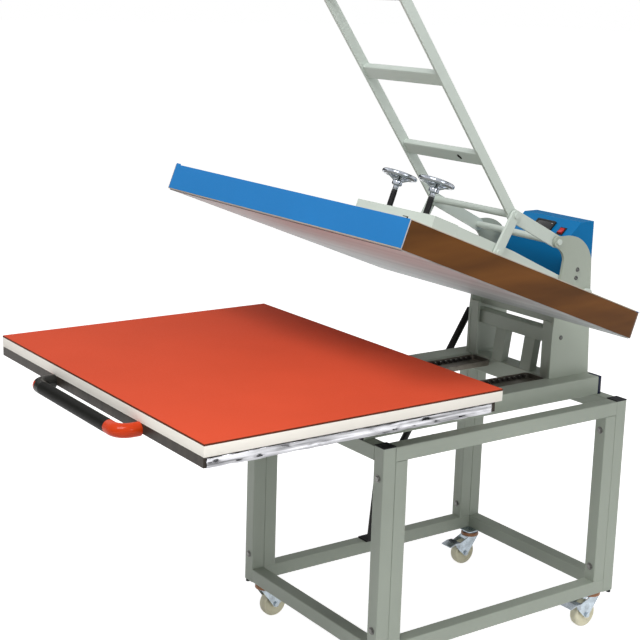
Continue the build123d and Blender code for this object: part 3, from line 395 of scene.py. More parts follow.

# %% [markdown]
# A new piece is a mesh that is born in its place, smooth where its faces meet gently and creased
# where they meet sharply. One function turns a bmesh into such a piece, gives it its finish, hangs
# it on the empty of the body it rides on and hides the CAD pieces it stands for.

# %% Piece helper
CREASE = math.radians(35)
MERGE = 1e-6


def piece(name, build, slot, body, *nodes, material=None, crease=CREASE):
    """A finished piece made from a bmesh."""
    mesh = bpy.data.meshes.new(name)
    build.to_mesh(mesh)
    build.free()
    mesh.shade_smooth()
    mesh.set_sharp_from_angle(angle=crease)
    mesh.materials.append(material or FINISHES[slot])
    made = bpy.data.objects.new(name, mesh)
    bpy.context.scene.collection.objects.link(made)
    if nodes:
        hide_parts(*nodes)
    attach(made, body)
    return made


def outward(build):
    """Merge doubles and turn the faces of closed shells outwards."""
    bmesh.ops.remove_doubles(build, verts=build.verts, dist=MERGE)
    bmesh.ops.recalc_face_normals(build, faces=build.faces)


print("finished pieces crease over", round(math.degrees(CREASE)), "degrees")

# %% [markdown]
# Folded sheet, sawn tube and moulded plastic never have knife edges: a narrow round edge catches
# the light and makes a shape read as metal. Each sharp-edged piece is a copy of its CAD mesh with
# its loose triangles merged, and a Bevel modifier rounds only the edges that are truly sharp.

# %% Soft edges
SOFT_EDGES = {
    "base_frame": 0.8,
    "tube_end_plugs": 0.5,
    "slide_channels": 0.5,
    "slide_runners": 0.5,
    "caster_plates": 0.5,
    "columns": 0.8,
    "column_bracing": 0.8,
    "column_cross_plate": 0.6,
    "control_box": 0.8,
    "control_box_back": 0.5,
    "switch_housing": 0.4,
    "temperature_controller": 0.5,
    "rocker_switch": 0.5,
    "drawer_tray": 0.6,
    "swing_channel": 1.0,
    "swing_arms": 1.0,
    "heating_plate": 0.8,
    "platen_seats": 0.6,
    "lever_side_bars": 0.8,
    "toggle_links": 0.8,
    "knee_axle": 0.5,
    "lever_shaft": 0.5,
    "strut_bracket": 0.6,
    "frame_bolts": 0.4,
}
FORK_EDGE = 0.5
PEDAL_EDGE = 0.9
SHARP = math.radians(33)
FLAT = math.radians(0.8)


def merged_copy(node):
    """A CAD node's mesh with its triangles joined into clean faces."""
    build = bmesh.new()
    build.from_mesh(NODES[node].data)
    bmesh.ops.remove_doubles(build, verts=build.verts, dist=2 * MERGE)
    bmesh.ops.dissolve_limit(build, angle_limit=FLAT, verts=build.verts, edges=build.edges)
    return build


def soften(node, width):
    """The node's shape with narrow round edges."""
    soft = piece(node + "_soft", merged_copy(node), SLOTS[node], BODY_OF[node], node)
    bevel = soft.modifiers.new("round_edges", "BEVEL")
    bevel.width = width * MM
    bevel.segments = 2
    bevel.limit_method = "ANGLE"
    bevel.angle_limit = SHARP
    bevel.harden_normals = True


for node, width in SOFT_EDGES.items():
    soften(node, width)
FORKS = [node for node in NODES if node.startswith("caster_fork")]
for fork in FORKS:
    soften(fork, FORK_EDGE)
print("soft-edged pieces:", len(SOFT_EDGES) + len(FORKS))

# %% [markdown]
# Turned parts, such as the wheels of the casters and the hubs of the handwheels, are a profile
# swept round an axis. The profile is a short list of radii and heights, as a turner would mark
# them, and the function closes it at the axis where the radius is zero. Flat pieces are bars between
# two corners, each with its own narrow round edges.

# %% Turned pieces and bars
def turned(build, profile, place, segments=48):
    """Add a turned shape: profile points are (radius, height) in mm, place maps Z-up to the frame."""
    rings = []
    for radius, height in profile:
        if radius == 0:
            rings.append([build.verts.new(place @ Vector((0, 0, height * MM)))])
            continue
        ring = []
        for step in range(segments):
            angle = 2 * math.pi * step / segments
            spot = Vector((radius * math.cos(angle), radius * math.sin(angle), height)) * MM
            ring.append(build.verts.new(place @ spot))
        rings.append(ring)
    for low, high in zip(rings, rings[1:]):
        for step in range(segments):
            after = (step + 1) % segments
            below = [low[step % len(low)], low[after % len(low)]]
            above = [high[after % len(high)], high[step % len(high)]]
            corners = list(dict.fromkeys(below + above))
            if len(corners) > 2:
                build.faces.new(corners)


def bar_between(build, low, high, place, edge):
    """Add a straight bar between two corners in mm, with small round edges."""
    made = bmesh.ops.create_cube(build, size=1)["verts"]
    low, high = Vector(low), Vector(high)
    for vertex in made:
        share = vertex.co + Vector((0.5, 0.5, 0.5))
        vertex.co = Vector([a + (b - a) * part for a, b, part in zip(low, high, share)])
    edges = list({side for vertex in made for side in vertex.link_edges})
    result = bmesh.ops.bevel(build, geom=edges, offset=edge, segments=2, affect="EDGES", profile=0.5)
    shaped = {vertex for face in result["faces"] for vertex in face.verts}
    for vertex in shaped | {vertex for vertex in made if vertex.is_valid}:
        vertex.co = place(*vertex.co)


def bars(name, slot, body, *nodes, boxes, place, edge, material=None):
    """A piece made of straight bars: each box is its low and its high corner in mm."""
    build = bmesh.new()
    for low, high in boxes:
        bar_between(build, low, high, place, edge)
    outward(build)
    return piece(name, build, slot, body, *nodes, material=material)


# %% [markdown]
# The pad is a sheet of silicone sponge with square-cut, slightly rounded edges. It sits a little
# sunk in the white board, and a thin dark brown strip round it is painted shade for the gap
# between pad and board.

# %% Silicone pad
PAD_LOW, PAD_HIGH = (drawn(corner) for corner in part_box("silicone_pad"))
BOARD_LOW = drawn(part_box("lower_board")[0])
PAD_SUNK = 1.3
PAD_INSET = 0.4
PAD_EDGE = 1.2
# The strip round the pad is painted shade for the gap between pad and board.
SHADE_STRIP_SUNK = 3.0
SHADE_STRIP_BELOW_TOP = 0.9
SHADE_STRIP_PROUD = 0.1
SHADE_STRIP_EDGE = 0.4
BOARD_LIP = 4.2
BOARD_EDGE = 1.0


def pad_box(proud, bottom, top):
    """The pad's box in mm, wider by proud, with its lower and upper faces moved up."""
    (x0, y0, z0), (x1, y1, z1) = PAD_LOW, PAD_HIGH
    return (x0 - proud, y0 - proud, z0 + bottom), (x1 + proud, y1 + proud, z1 + top)


sheet = [pad_box(-PAD_INSET, PAD_SUNK, 0)]
shade_strip = [pad_box(SHADE_STRIP_PROUD, SHADE_STRIP_SUNK, -SHADE_STRIP_BELOW_TOP)]
board = [(BOARD_LOW, (PAD_HIGH[0], PAD_HIGH[1], PAD_LOW[2] + BOARD_LIP))]
pad_shade = FINISHES["pad_gap_shade"]
pad = bars(
    "silicone_pad_sheet", "pad_orange", "drawer", "silicone_pad", boxes=sheet, place=at, edge=PAD_EDGE
)
bars("pad_backing_cloth", "pad_orange", "drawer", boxes=shade_strip, place=at, edge=SHADE_STRIP_EDGE, material=pad_shade)
bars("board_lipped", "board_white", "drawer", "lower_board", boxes=board, place=at, edge=BOARD_EDGE)
print("pad:", [round(part, 1) for part in PAD_LOW], [round(part, 1) for part in PAD_HIGH])

# %% [markdown]
# Kitchen-thin foil is pressed over the tray's right side and folded under it. Crumpled foil is made
# of small flat facets between creases. A Voronoi pattern gives just that: the gap between the
# nearest and the second nearest cell centre is zero on the creases and grows between them. Two
# sizes of cells are added to long soft folds, all drawn out along the tray, and the sheet is shaded
# flat enough to glitter.

# %% Foil
FOIL_LOW, FOIL_HIGH = (drawn(corner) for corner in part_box("foil_wrap"))
FOIL_STEP = 3.0
FOIL_GAUGE = 0.25
FOIL_SET_IN = 0.9
FOIL_SLANT = 0.6
FOIL_CREASE = math.radians(14)
FOIL_FOLD = 58
FOIL_CREASES = ((24, 1.1), (8, 0.3))
FOIL_DRAW = 0.3
FOIL_TAIL = 22
FOIL_FOLD_SIZE = 12
FOIL_FOLD_DEPTH = 3.2
RAG_DEPTH = 1.8
RAG_LENGTH = 22
RAG_DROP = 1.2
RAG_SEED = 5


def foil_section(top):
    """Points and outward directions down the tray's side and in under it."""
    side_x, under_z = FOIL_HIGH[0] - FOIL_SET_IN, FOIL_LOW[2] + FOIL_SET_IN
    down = int((top - under_z) / FOIL_STEP)
    rows = [(side_x, top + (under_z - top) * step / down, 1, 0) for step in range(down)]
    rows.append((side_x, under_z, 0.7, -0.7))
    inward = int(FOIL_FOLD / FOIL_STEP)
    rows += [(side_x - FOIL_FOLD * (step + 1) / inward, under_z, 0, -1) for step in range(inward)]
    return rows


def crumple(spot):
    """How far the foil stands off at a place, in mm."""
    along = Vector((spot.x, spot.y * FOIL_DRAW, spot.z))
    height = FOIL_FOLD_DEPTH * abs(noise.noise(along / FOIL_FOLD_SIZE))
    for cell, depth in FOIL_CREASES:
        near = noise.voronoi(along / cell)[0]
        height += depth * min(1, near[1] - near[0])
    return height


def foil_sheet():
    """The crumpled sheet along the tray."""
    build = bmesh.new()
    y0, y1 = FOIL_LOW[1], FOIL_HIGH[1] + FOIL_TAIL
    count = int((y1 - y0) / FOIL_STEP)
    top = FOIL_HIGH[2]
    columns = []
    for step in range(count + 1):
        y = y0 + (y1 - y0) * step / count
        rag = RAG_DEPTH * noise.noise(Vector((y / RAG_LENGTH, 0, RAG_SEED))) - RAG_DROP
        column = []
        for x, z, out_x, out_z in foil_section(top):
            lift = crumple(Vector((x, y, z)))
            height = z + out_z * lift + (rag if z == top else 0)
            column.append(build.verts.new(at(x + out_x * lift, y + FOIL_SLANT * lift, height)))
        columns.append(column)
    for left, right in zip(columns, columns[1:]):
        for row in range(len(left) - 1):
            build.faces.new((left[row], left[row + 1], right[row + 1], right[row]))
    bmesh.ops.recalc_face_normals(build, faces=build.faces)
    return build


foil = piece("foil_crumpled", foil_sheet(), "foil", "drawer", "foil_wrap", crease=FOIL_CREASE)
skin = foil.modifiers.new("foil_gauge", "SOLIDIFY")
skin.thickness = FOIL_GAUGE * MM
print("foil faces:", len(foil.data.polygons))

# %% [markdown]
# The upper platen is boxed in painted sheet. Where the blue sheet ends it shows a narrow bare edge:
# along both sides, up the front corners and along the lower lip. Below the lip, two dark strips are
# painted shade in the gap that parts the cover from the heating plate. The upper left corner of the
# front is turned up a little, and a small black catch sits near the right one. The top is a pale
# sheet, which the chrome wheels mirror. Thin bars in the closed position, lifted with the platen,
# make them all.

# %% Platen edges
COVER_LOW = (-500, -170.5, 837.6)
COVER_HIGH = (500, 629.5, 903.6)
COVER_EDGE = 1.2
PANEL_EDGE = 0.6
BARE_WIDTH = 1.8
BARE_ROUND = 0.15
BARE_PROUD = 0.3
BARE_INSET = 1
CORNER_DEPTH = 0.8
SIDE_PROUD = 0.35
SIDE_LIFT = 0.2
SIDE_END = 24
LIP_DEPTH = 5.0
LIP_HEIGHTS = (-2.0, -0.1)
LINE_ROUND = 0.1
TURNED_ROUND = 0.8
CATCH_ROUND = 0.4
# Dark strips painted as the shade in the gap between the cover and the heating plate.
GAP_SHADE_LINES = (
    ((-495, -165.6, 833.0), (495, -164.2, 834.0)),
    ((-495, -162.8, 833.1), (495, -160.4, 833.9)),
)
TURNED_CORNER = ((-499, -170.4, 903.0), (-478, -168.6, 907.0))
CATCH_BARS = (
    ((470, -171.2, 905.4), (487, -169.2, 907.2)),
    ((484, -171.2, 902.6), (487, -169.2, 906.8)),
)
TOP_SHEET = ((-498.6, -169.2, 903.4), (498.6, 628.4, 903.9))
EDGE_PALE = finish("edge_pale", (0.50, 0.44, 0.36), 0.45, metal=0.2)
# Painted shade for the gap under the cover's lip.
GAP_SHADE = finish("gap_shade", (0.030, 0.020, 0.016), 0.6, specular=0.2)
TOP_PALE = finish("top_pale", (0.55, 0.53, 0.47), 0.5, drift=0.08, specular=0.3)


def bare_edges():
    """Boxes of the cover's bare edges: two sides, two front corners and the lip."""
    right, front, rear = COVER_HIGH[0], COVER_LOW[1], COVER_HIGH[1]
    top, bottom = COVER_HIGH[2], COVER_LOW[2]
    boxes = []
    for side in (-1, 1):
        x0, x1 = sorted((side * (right - BARE_INSET), side * (right + SIDE_PROUD)))
        low, high = (x0, front + BARE_INSET, top - BARE_WIDTH), (x1, rear - SIDE_END, top + SIDE_LIFT)
        boxes.append((low, high))
        x0, x1 = sorted((side * (right - BARE_WIDTH), side * (right + BARE_PROUD)))
        boxes.append(((x0, front - BARE_PROUD, bottom), (x1, front + CORNER_DEPTH, top)))
    reach, (low, high) = right - BARE_INSET, (bottom + height for height in LIP_HEIGHTS)
    boxes.append(((-reach, front - BARE_PROUD, low), (reach, front + LIP_DEPTH, high)))
    return boxes


for name, slot, boxes, edge, material in (
    ("platen_bare_edges", "seat_steel", bare_edges(), BARE_ROUND, EDGE_PALE),
    ("platen_gap_line", "seat_steel", GAP_SHADE_LINES, LINE_ROUND, GAP_SHADE),
    ("cover_turned_corner", "cover_blue", [TURNED_CORNER], TURNED_ROUND, None),
    ("cover_catch", "strut_black", CATCH_BARS, CATCH_ROUND, None),
    ("platen_top_skin", "seat_steel", [TOP_SHEET], LINE_ROUND, TOP_PALE),
):
    bars(name, slot, "platen", boxes=boxes, place=opened, edge=edge, material=material)
soften("platen_cover", COVER_EDGE)
soften("platen_side_panels", PANEL_EDGE)
print("platen edges done")

# %% [markdown]
# The handwheels are chromed castings: a round rim, five broad arms that flare into the rim and run
# down into a round cup, and a narrow bright collar where the wheel meets its screw. The rim, the
# cup and the collar are turned. An arm is an oval section carried along a curved line, wide at
# both ends and narrow between.

# %% Handwheels
WHEEL_PLACE = (74.5, 229, 903.6)
WHEEL_COLLAR = ((0, 114), (6.4, 114), (7.2, 114.8), (7.2, 124.6), (8.4, 125.6))
WHEEL_CUP = ((12.0, 126.0), (13.4, 127.4), (13.8, 129.6), (13.4, 134.0), (13.2, 139.6), (12.2, 142.0))
WHEEL_TOP = ((10.6, 143.2), (8.6, 143.6), (0, 143.6))
RIM_RADIUS = 39.6
RIM_HEIGHT = 154
RIM_SECTION = 8.6
RIM_FLATTEN = 0.82
RIM_STEPS = 16
RIM_SEGMENTS = 64
ARM_COUNT = 5
ARM_STATIONS = 9
ARM_SIDES = 12
ARM_ROOT = (9, 138.2)
ARM_REACH = RIM_RADIUS - 10
ARM_RISE = RIM_HEIGHT - 139.6
ARM_CURVE = 1.2
ARM_WAIST = 4.4
ARM_FLARE = 4.2
ARM_WAIST_AT = 0.9
ARM_TAPER = 2.0
ARM_THICK = 3.6
ARM_THINNING = 0.9
WHEEL_CREASE = math.radians(50)


def wheel_matrix(side):
    """From a wheel's own upright axis to its place on the opened platen."""
    x, y, z = WHEEL_PLACE
    return OPENED @ Matrix.Translation(at(side * x, y, z))


def wheel_arm(build, place, turn):
    """One flared arm from the cup out to the rim."""
    rings = []
    for station in range(ARM_STATIONS):
        share = station / (ARM_STATIONS - 1)
        reach = ARM_ROOT[0] + ARM_REACH * share
        rise = ARM_ROOT[1] + ARM_RISE * share**ARM_CURVE
        wide = ARM_WAIST + ARM_FLARE * (2 * share - ARM_WAIST_AT) ** 2 + ARM_TAPER * share
        thick = ARM_THICK - ARM_THINNING * math.sin(math.pi * share)
        ring = []
        for step in range(ARM_SIDES):
            angle = 2 * math.pi * step / ARM_SIDES
            spot = Vector((reach, wide * math.cos(angle), rise + thick * math.sin(angle))) * MM
            ring.append(build.verts.new(place @ turn @ spot))
        rings.append(ring)
    for low, high in zip(rings, rings[1:]):
        for step in range(ARM_SIDES):
            after = (step + 1) % ARM_SIDES
            build.faces.new((low[step], low[after], high[after], high[step]))
    build.faces.new(rings[0][::-1])
    build.faces.new(rings[-1])


def wheel_shape(side):
    """Collar, cup, arms and rim of one handwheel."""
    build = bmesh.new()
    place = wheel_matrix(side)
    turned(build, WHEEL_COLLAR + WHEEL_CUP + WHEEL_TOP, place)
    rim = []
    for step in range(RIM_STEPS + 1):
        angle = 2 * math.pi * step / RIM_STEPS
        rim.append((
            RIM_RADIUS + RIM_SECTION * math.cos(angle),
            RIM_HEIGHT + RIM_FLATTEN * RIM_SECTION * math.sin(angle),
        ))
    turned(build, rim, place, RIM_SEGMENTS)
    for arm in range(ARM_COUNT):
        wheel_arm(build, place, Matrix.Rotation(2 * math.pi * (arm + 0.5) / ARM_COUNT, 4, "Z"))
    outward(build)
    return build


for side, word in ((-1, "left"), (1, "right")):
    name, body = "handwheel_" + word, word + "_handwheel"
    piece(name + "_chromed", wheel_shape(side), "wheel_chrome", body, name, crease=WHEEL_CREASE)
print("handwheels: 2, arms each:", ARM_COUNT)

# %% [markdown]
# Each pressure screw is a black rod with a real thread. Rows of points climb as they go round, one
# pitch per turn, so the ridge follows the true helix. Four rows to a pitch give the crest, the
# root and the two flanks. Both ends are plain turned stubs.

# %% Screw threads
SCREW_RADIUS = 8.5
THREAD_DEPTH = 1.1
THREAD_PITCH = 3.0
THREAD_LOW = 7
THREAD_HIGH = 109
THREAD_SIDES = 28
THREAD_STEPS = (0, THREAD_DEPTH, THREAD_DEPTH, 0)
THREAD_CREASE = math.radians(25)
STUB_FOOT = ((0, 6.4), (7.2, 6.4), (7.2, 8.5), (0, 8.5))
STUB_NECK = ((0, 107), (7.6, 107), (7.6, 114), (5.4, 114), (5.4, 133), (0, 133))
STUB_SEGMENTS = 24


def screw_shape(side):
    """A threaded rod between two plain stubs."""
    build = bmesh.new()
    place = wheel_matrix(side)
    for stub in (STUB_FOOT, STUB_NECK):
        turned(build, stub, place, STUB_SEGMENTS)
    columns = []
    per_pitch = len(THREAD_STEPS)
    rows = int((THREAD_HIGH - THREAD_LOW) / THREAD_PITCH * per_pitch)
    for step in range(THREAD_SIDES + 1):
        angle = 2 * math.pi * step / THREAD_SIDES
        column = []
        for row in range(rows):
            height = THREAD_LOW + THREAD_PITCH * (row / per_pitch + step / THREAD_SIDES - 0.5)
            radius = SCREW_RADIUS - THREAD_STEPS[row % per_pitch]
            height = min(max(height, THREAD_LOW), THREAD_HIGH)
            spot = Vector((radius * math.cos(angle), radius * math.sin(angle), height)) * MM
            column.append(build.verts.new(place @ spot))
        columns.append(column)
    for left, right in zip(columns, columns[1:]):
        for row in range(rows - 1):
            build.faces.new((left[row], right[row], right[row + 1], left[row + 1]))
    bmesh.ops.remove_doubles(build, verts=build.verts, dist=2 * MERGE)
    bmesh.ops.dissolve_degenerate(build, edges=build.edges, dist=MERGE / 10)
    bmesh.ops.recalc_face_normals(build, faces=build.faces)
    return build


for side, word in ((-1, "left"), (1, "right")):
    name, body = "pressure_screw_" + word, word + "_handwheel"
    piece(name + "_threaded", screw_shape(side), "screw_black", body, name, crease=THREAD_CREASE)
print("threads: pitch", THREAD_PITCH, "mm")

# %% [markdown]
# Small things that repeat, such as balls, cage links and screw heads, are one source shape set on
# many points. A Geometry Nodes tree does it: Instance on Points copies the source, turns its own
# Z axis to the direction stored on each point, and Realize Instances and Set Material make the
# copies real geometry of one finish. The result is read back as a plain mesh.

# %% Repeats
def repeat_tree(material):
    """A geometry tree that sets a source object on points."""
    tree = bpy.data.node_groups.new("set_on_points", "GeometryNodeTree")
    face = tree.interface
    face.new_socket("Geometry", in_out="INPUT", socket_type="NodeSocketGeometry")
    face.new_socket("Source", in_out="INPUT", socket_type="NodeSocketObject")
    face.new_socket("Size", in_out="INPUT", socket_type="NodeSocketFloat").default_value = 1.0
    face.new_socket("Geometry", in_out="OUTPUT", socket_type="NodeSocketGeometry")
    entry = add_node(tree, "NodeGroupInput")
    source = add_node(tree, "GeometryNodeObjectInfo", {"Object": entry.outputs["Source"]})
    facing = add_node(tree, "GeometryNodeInputNamedAttribute", {"Name": "facing"}, data_type="FLOAT_VECTOR")
    turn = add_node(
        tree, "FunctionNodeAlignRotationToVector", {"Vector": facing.outputs["Attribute"]}, axis="Z"
    )
    copies = add_node(tree, "GeometryNodeInstanceOnPoints", {
        "Points": entry.outputs["Geometry"],
        "Instance": source.outputs["Geometry"],
        "Rotation": turn.outputs["Rotation"],
        "Scale": entry.outputs["Size"],
    })
    real = add_node(tree, "GeometryNodeRealizeInstances", {"Geometry": copies.outputs["Instances"]})
    solid = real.outputs["Geometry"]
    painted = add_node(tree, "GeometryNodeSetMaterial", {"Geometry": solid, "Material": material})
    add_node(tree, "NodeGroupOutput", {"Geometry": painted.outputs["Geometry"]})
    return tree


def repeated(name, source_build, places, slot, body, *nodes, material=None, crease=CREASE, size=1.0):
    """Copies of a source shape on places: pairs of a point and the direction it faces."""
    material = material or FINISHES[slot]
    source_mesh = bpy.data.meshes.new(name + "_source")
    source_build.to_mesh(source_mesh)
    source_build.free()
    source = bpy.data.objects.new(name + "_source", source_mesh)
    points = bpy.data.meshes.new(name + "_points")
    points.from_pydata([tuple(spot) for spot, _ in places], [], [])
    facing = points.attributes.new("facing", "FLOAT_VECTOR", "POINT")
    for index, (_, direction) in enumerate(places):
        facing.data[index].vector = direction
    carrier = bpy.data.objects.new(name + "_carrier", points)
    for helper in (source, carrier):
        bpy.context.scene.collection.objects.link(helper)
    tree = repeat_tree(material)
    sockets = {item.name: item.identifier for item in tree.interface.items_tree if item.in_out == "INPUT"}
    nodes_modifier = carrier.modifiers.new("set_on_points", "NODES")
    nodes_modifier.node_group = tree
    nodes_modifier[sockets["Source"]] = source
    nodes_modifier[sockets["Size"]] = size
    graph = bpy.context.evaluated_depsgraph_get()
    result = bpy.data.meshes.new_from_object(carrier.evaluated_get(graph))
    build = bmesh.new()
    build.from_mesh(result)
    bpy.data.meshes.remove(result)
    for helper in (source, carrier):
        bpy.data.objects.remove(helper)
    return piece(name, build, slot, body, *nodes, material=material, crease=crease)


# %% [markdown]
# Each flat slide holds two rows of balls. A dark sheet cage runs in a zigzag between them and
# keeps them apart. Both rows repeat with the same pitch: a bright ball, then a slanting link.

# %% Ball rows
SLIDE_X = 110.5
BALL_ROW_X = 31.5
BALL_PITCH = 19
BALL_FRONT_Y = 12
BALL_REAR_Y = 652
BALL_Z = 692.6
BALL_RADIUS = 4.1
CAGE_SWAY = 3.4
CAGE_TURNS = (3.5, 6.5)
CAGE_HEIGHTS = (-3.9, 4.2)
CAGE_GAUGE = 0.9
CAGE = finish("cage_dark", (0.055, 0.050, 0.045), 0.4, metal=0.6)
BALL_STEEL = finish("ball_steel", (0.85, 0.85, 0.82), 0.14, metal=1.0, spread=0.03)


def row_places(start):
    """Points along the four ball rows, from a first Y on."""
    places = []
    for slide in (-1, 1):
        for row in (-1, 1):
            for step in range(int((BALL_REAR_Y - start) / BALL_PITCH) + 1):
                x = slide * SLIDE_X + row * BALL_ROW_X
                places.append((at(x, start + step * BALL_PITCH, BALL_Z), (0, 0, 1)))
    return places


build = bmesh.new()
bmesh.ops.create_icosphere(build, subdivisions=2, radius=BALL_RADIUS * MM)
spots = row_places(BALL_FRONT_Y)
repeated("slide_balls", build, spots, "slide_steel", "bench", "slide_ball_rows", material=BALL_STEEL)


def cage_link():
    """One pitch of the zigzag: a thin strip that crosses from side to side and back."""
    build = bmesh.new()
    half, sway, (near, far) = BALL_PITCH / 2, CAGE_SWAY, CAGE_TURNS
    line = ((sway, -half), (sway, -far), (-sway, -near), (-sway, near), (sway, far), (sway, half))
    rails = []
    for shift in (0, CAGE_GAUGE):
        for height in CAGE_HEIGHTS:
            rails.append([build.verts.new(Vector((x + shift, y, height)) * MM) for x, y in line])
    near_low, near_high, far_low, far_high = rails
    around = (near_low, near_high, far_high, far_low)
    for step in range(len(line) - 1):
        for one, two in zip(around, around[1:] + around[:1]):
            build.faces.new((one[step], one[step + 1], two[step + 1], two[step]))
    for end in (0, -1):
        build.faces.new([rail[end] for rail in around])
    bmesh.ops.recalc_face_normals(build, faces=build.faces)
    return build


link_places = row_places(BALL_FRONT_Y + BALL_PITCH / 2)
repeated("slide_cages", cage_link(), link_places, "slide_steel", "bench", material=CAGE)
print("balls:", len(spots))

# %% [markdown]
# The screws in the columns are black, with a pan head and a cross recess. The head is a small disc
# of fine quads: its height follows a dome, less the cross. It repeats at three places on each
# column, facing outwards.

# %% Column screws
COLUMN_FACE_X = 168
HEAD_RADIUS = 6.0
HEAD_RISE = 3.6
CROSS_HALF_WIDTH = 0.85
CROSS_REACH = 3.3
CROSS_DEPTH = 1.5
DOME_DROP = 0.75
DOME_POWER = 4
HEAD_CREASE = math.radians(25)
SCREW_SPOTS = ((743, 999), (739, 976.5), (697, 816))


def pan_head(rings=14, sides=32):
    """A domed head with a cross recess, its own axis along Z."""
    build = bmesh.new()
    levels = []
    for ring in range(rings + 1):
        radius = HEAD_RADIUS * ring / rings
        level = []
        for side in range(sides):
            angle = 2 * math.pi * side / sides
            x, y = radius * math.cos(angle), radius * math.sin(angle)
            height = HEAD_RISE * (1 - (radius / HEAD_RADIUS) ** DOME_POWER * DOME_DROP)
            narrow, long = sorted((abs(x), abs(y)))
            if narrow < CROSS_HALF_WIDTH and long < CROSS_REACH:
                height -= CROSS_DEPTH
            level.append(build.verts.new(Vector((x, y, height)) * MM))
        levels.append(level)
    base = []
    for side in range(sides):
        angle = 2 * math.pi * side / sides
        x, y = HEAD_RADIUS * math.cos(angle), HEAD_RADIUS * math.sin(angle)
        base.append(build.verts.new(Vector((x, y, 0)) * MM))
    levels.append(base)
    for inner, outer in zip(levels, levels[1:]):
        for side in range(sides):
            after = (side + 1) % sides
            build.faces.new((inner[side], outer[side], outer[after], inner[after]))
    build.faces.new(base[::-1])
    outward(build)
    return build


places = [(at(side * COLUMN_FACE_X, y, z), (side, 0, 0)) for side in (-1, 1) for y, z in SCREW_SPOTS]
repeated("column_screw_heads", pan_head(), places, "black_plastic", "bench", crease=HEAD_CREASE)
print("column screws:", len(places))

# %% [markdown]
# The casters have ivory nylon wheels with a rounded tread and a thinner web round the hub. A painted
# ring covers the balls of the swivel. Both are turned, one for each caster, and they ride on the
# fork's and the wheel's own bodies.

# %% Casters
WEB_HALF = ((4.3, 13.8), (9.4, 13.8), (10.4, 13.0), (12, 8.4), (14, 7.4), (23, 7.2), (26.5, 8.4))
TREAD_HALF = ((29, 11.4), (30.4, 12.3), (33.2, 12.4), (35.4, 11.2), (36.8, 8.4), (37.4, 4.2))
TREAD_RADIUS = 37.5
TREAD_SEGMENTS = 56
RING_BORE = 22.4
RING_OUTER = ((26.3, 88.0), (26.9, 89.2), (26.9, 93.5), (25.6, 97.0), (23.0, 97.9))
RING_PAINT = finish("swivel_ring_paint", (0.36, 0.15, 0.060), 0.4, drift=0.25, drift_scale=60)


def caster_wheel_shape(centre):
    """A wheel turned about its axle."""
    build = bmesh.new()
    half = WEB_HALF + TREAD_HALF
    other = tuple((radius, -offset) for radius, offset in reversed(half))
    profile = half + ((TREAD_RADIUS, 0),) + other + (half[0],)
    place = Matrix.Translation(centre) @ Matrix.Rotation(math.pi / 2, 4, "Y")
    turned(build, profile, place, TREAD_SEGMENTS)
    outward(build)
    return build


def ring_shape(centre):
    """The painted ring round a swivel, closed at its bore."""
    build = bmesh.new()
    low, high = (RING_BORE, RING_OUTER[0][1]), (RING_BORE, RING_OUTER[-1][1])
    turned(build, (low,) + RING_OUTER + (high, low), Matrix.Translation((centre.x, centre.y, 0)))
    outward(build)
    return build


for end in ("front", "rear"):
    for side in ("left", "right"):
        corner = f"{end}_{side}"
        axle = Vector(JOINTS[f"roll_{corner}"]["pos_m"])
        wheel = caster_wheel_shape(axle)
        node = f"caster_wheel_{corner}"
        piece(node + "_turned", wheel, "caster_nylon", f"wheel_{corner}", node)
        ring = ring_shape(Vector(JOINTS[f"swivel_{corner}"]["pos_m"]))
        piece(f"swivel_ring_{corner}", ring, "caster_steel", f"fork_{corner}", material=RING_PAINT)
        soften(f"caster_pedal_{corner}", PEDAL_EDGE)
print("casters: 4")

# %% [markdown]
# The drawer handle is a steel core in a black grip with two glossy elbows. The right elbow is orange
# all round. The left one is black with only its outer curve painted, so its colour changes with the
# distance from the centre of its bend.

# %% Handle
ELBOW_CENTRE = (-0.162, -0.7225, 0)
ELBOW_PAINT_REACH = 0.0405
ELBOW_PAINT_X = -0.168
ELBOW_BLACK = (0.02, 0.02, 0.018, 1)
HANDLE_CREASE = math.radians(45)


def elbow_material():
    """Glossy elbows: orange, except for the inner part of the left one."""
    material = FINISHES["elbow_orange"]
    tree = material.node_tree
    shader = tree.nodes["Principled BSDF"]
    orange = shader.inputs["Base Color"].links[0].from_socket
    place = add_node(tree, "ShaderNodeTexCoord").outputs["Object"]
    x = add_node(tree, "ShaderNodeSeparateXYZ", {"Vector": place}).outputs["X"]
    flat = maths(tree, "MULTIPLY", place, (1, 1, 0), "ShaderNodeVectorMath")
    reach = maths(tree, "DISTANCE", flat, ELBOW_CENTRE, "ShaderNodeVectorMath", "Value")
    beyond = maths(tree, "GREATER_THAN", reach, ELBOW_PAINT_REACH)
    leftward = maths(tree, "LESS_THAN", x, ELBOW_PAINT_X)
    outer = maths(tree, "MULTIPLY", beyond, leftward)
    right = maths(tree, "GREATER_THAN", x, 0.0)
    painted = maths(tree, "MAXIMUM", outer, right)
    # The Mix node's inputs 6 and 7 are its two colours, and output 2 is the mixed one.
    mix = add_node(tree, "ShaderNodeMix", {"Factor": painted, 6: ELBOW_BLACK, 7: orange}, data_type="RGBA")
    tree.links.new(mix.outputs[2], shader.inputs["Base Color"])


elbow_material()
for node in ("handle_grip", "handle_elbows", "drawer_handle"):
    piece(node + "_smooth", merged_copy(node), SLOTS[node], BODY_OF[node], node, crease=HANDLE_CREASE)
print("handle done")

# %% [markdown]
# On the slanted panel of the control box, the controller shows a dark glass screen in its bezel with
# a small lamp in its upper right corner. Points on the panel are given across it, up its slope and
# out of it, so the screen lies exactly in the slope.

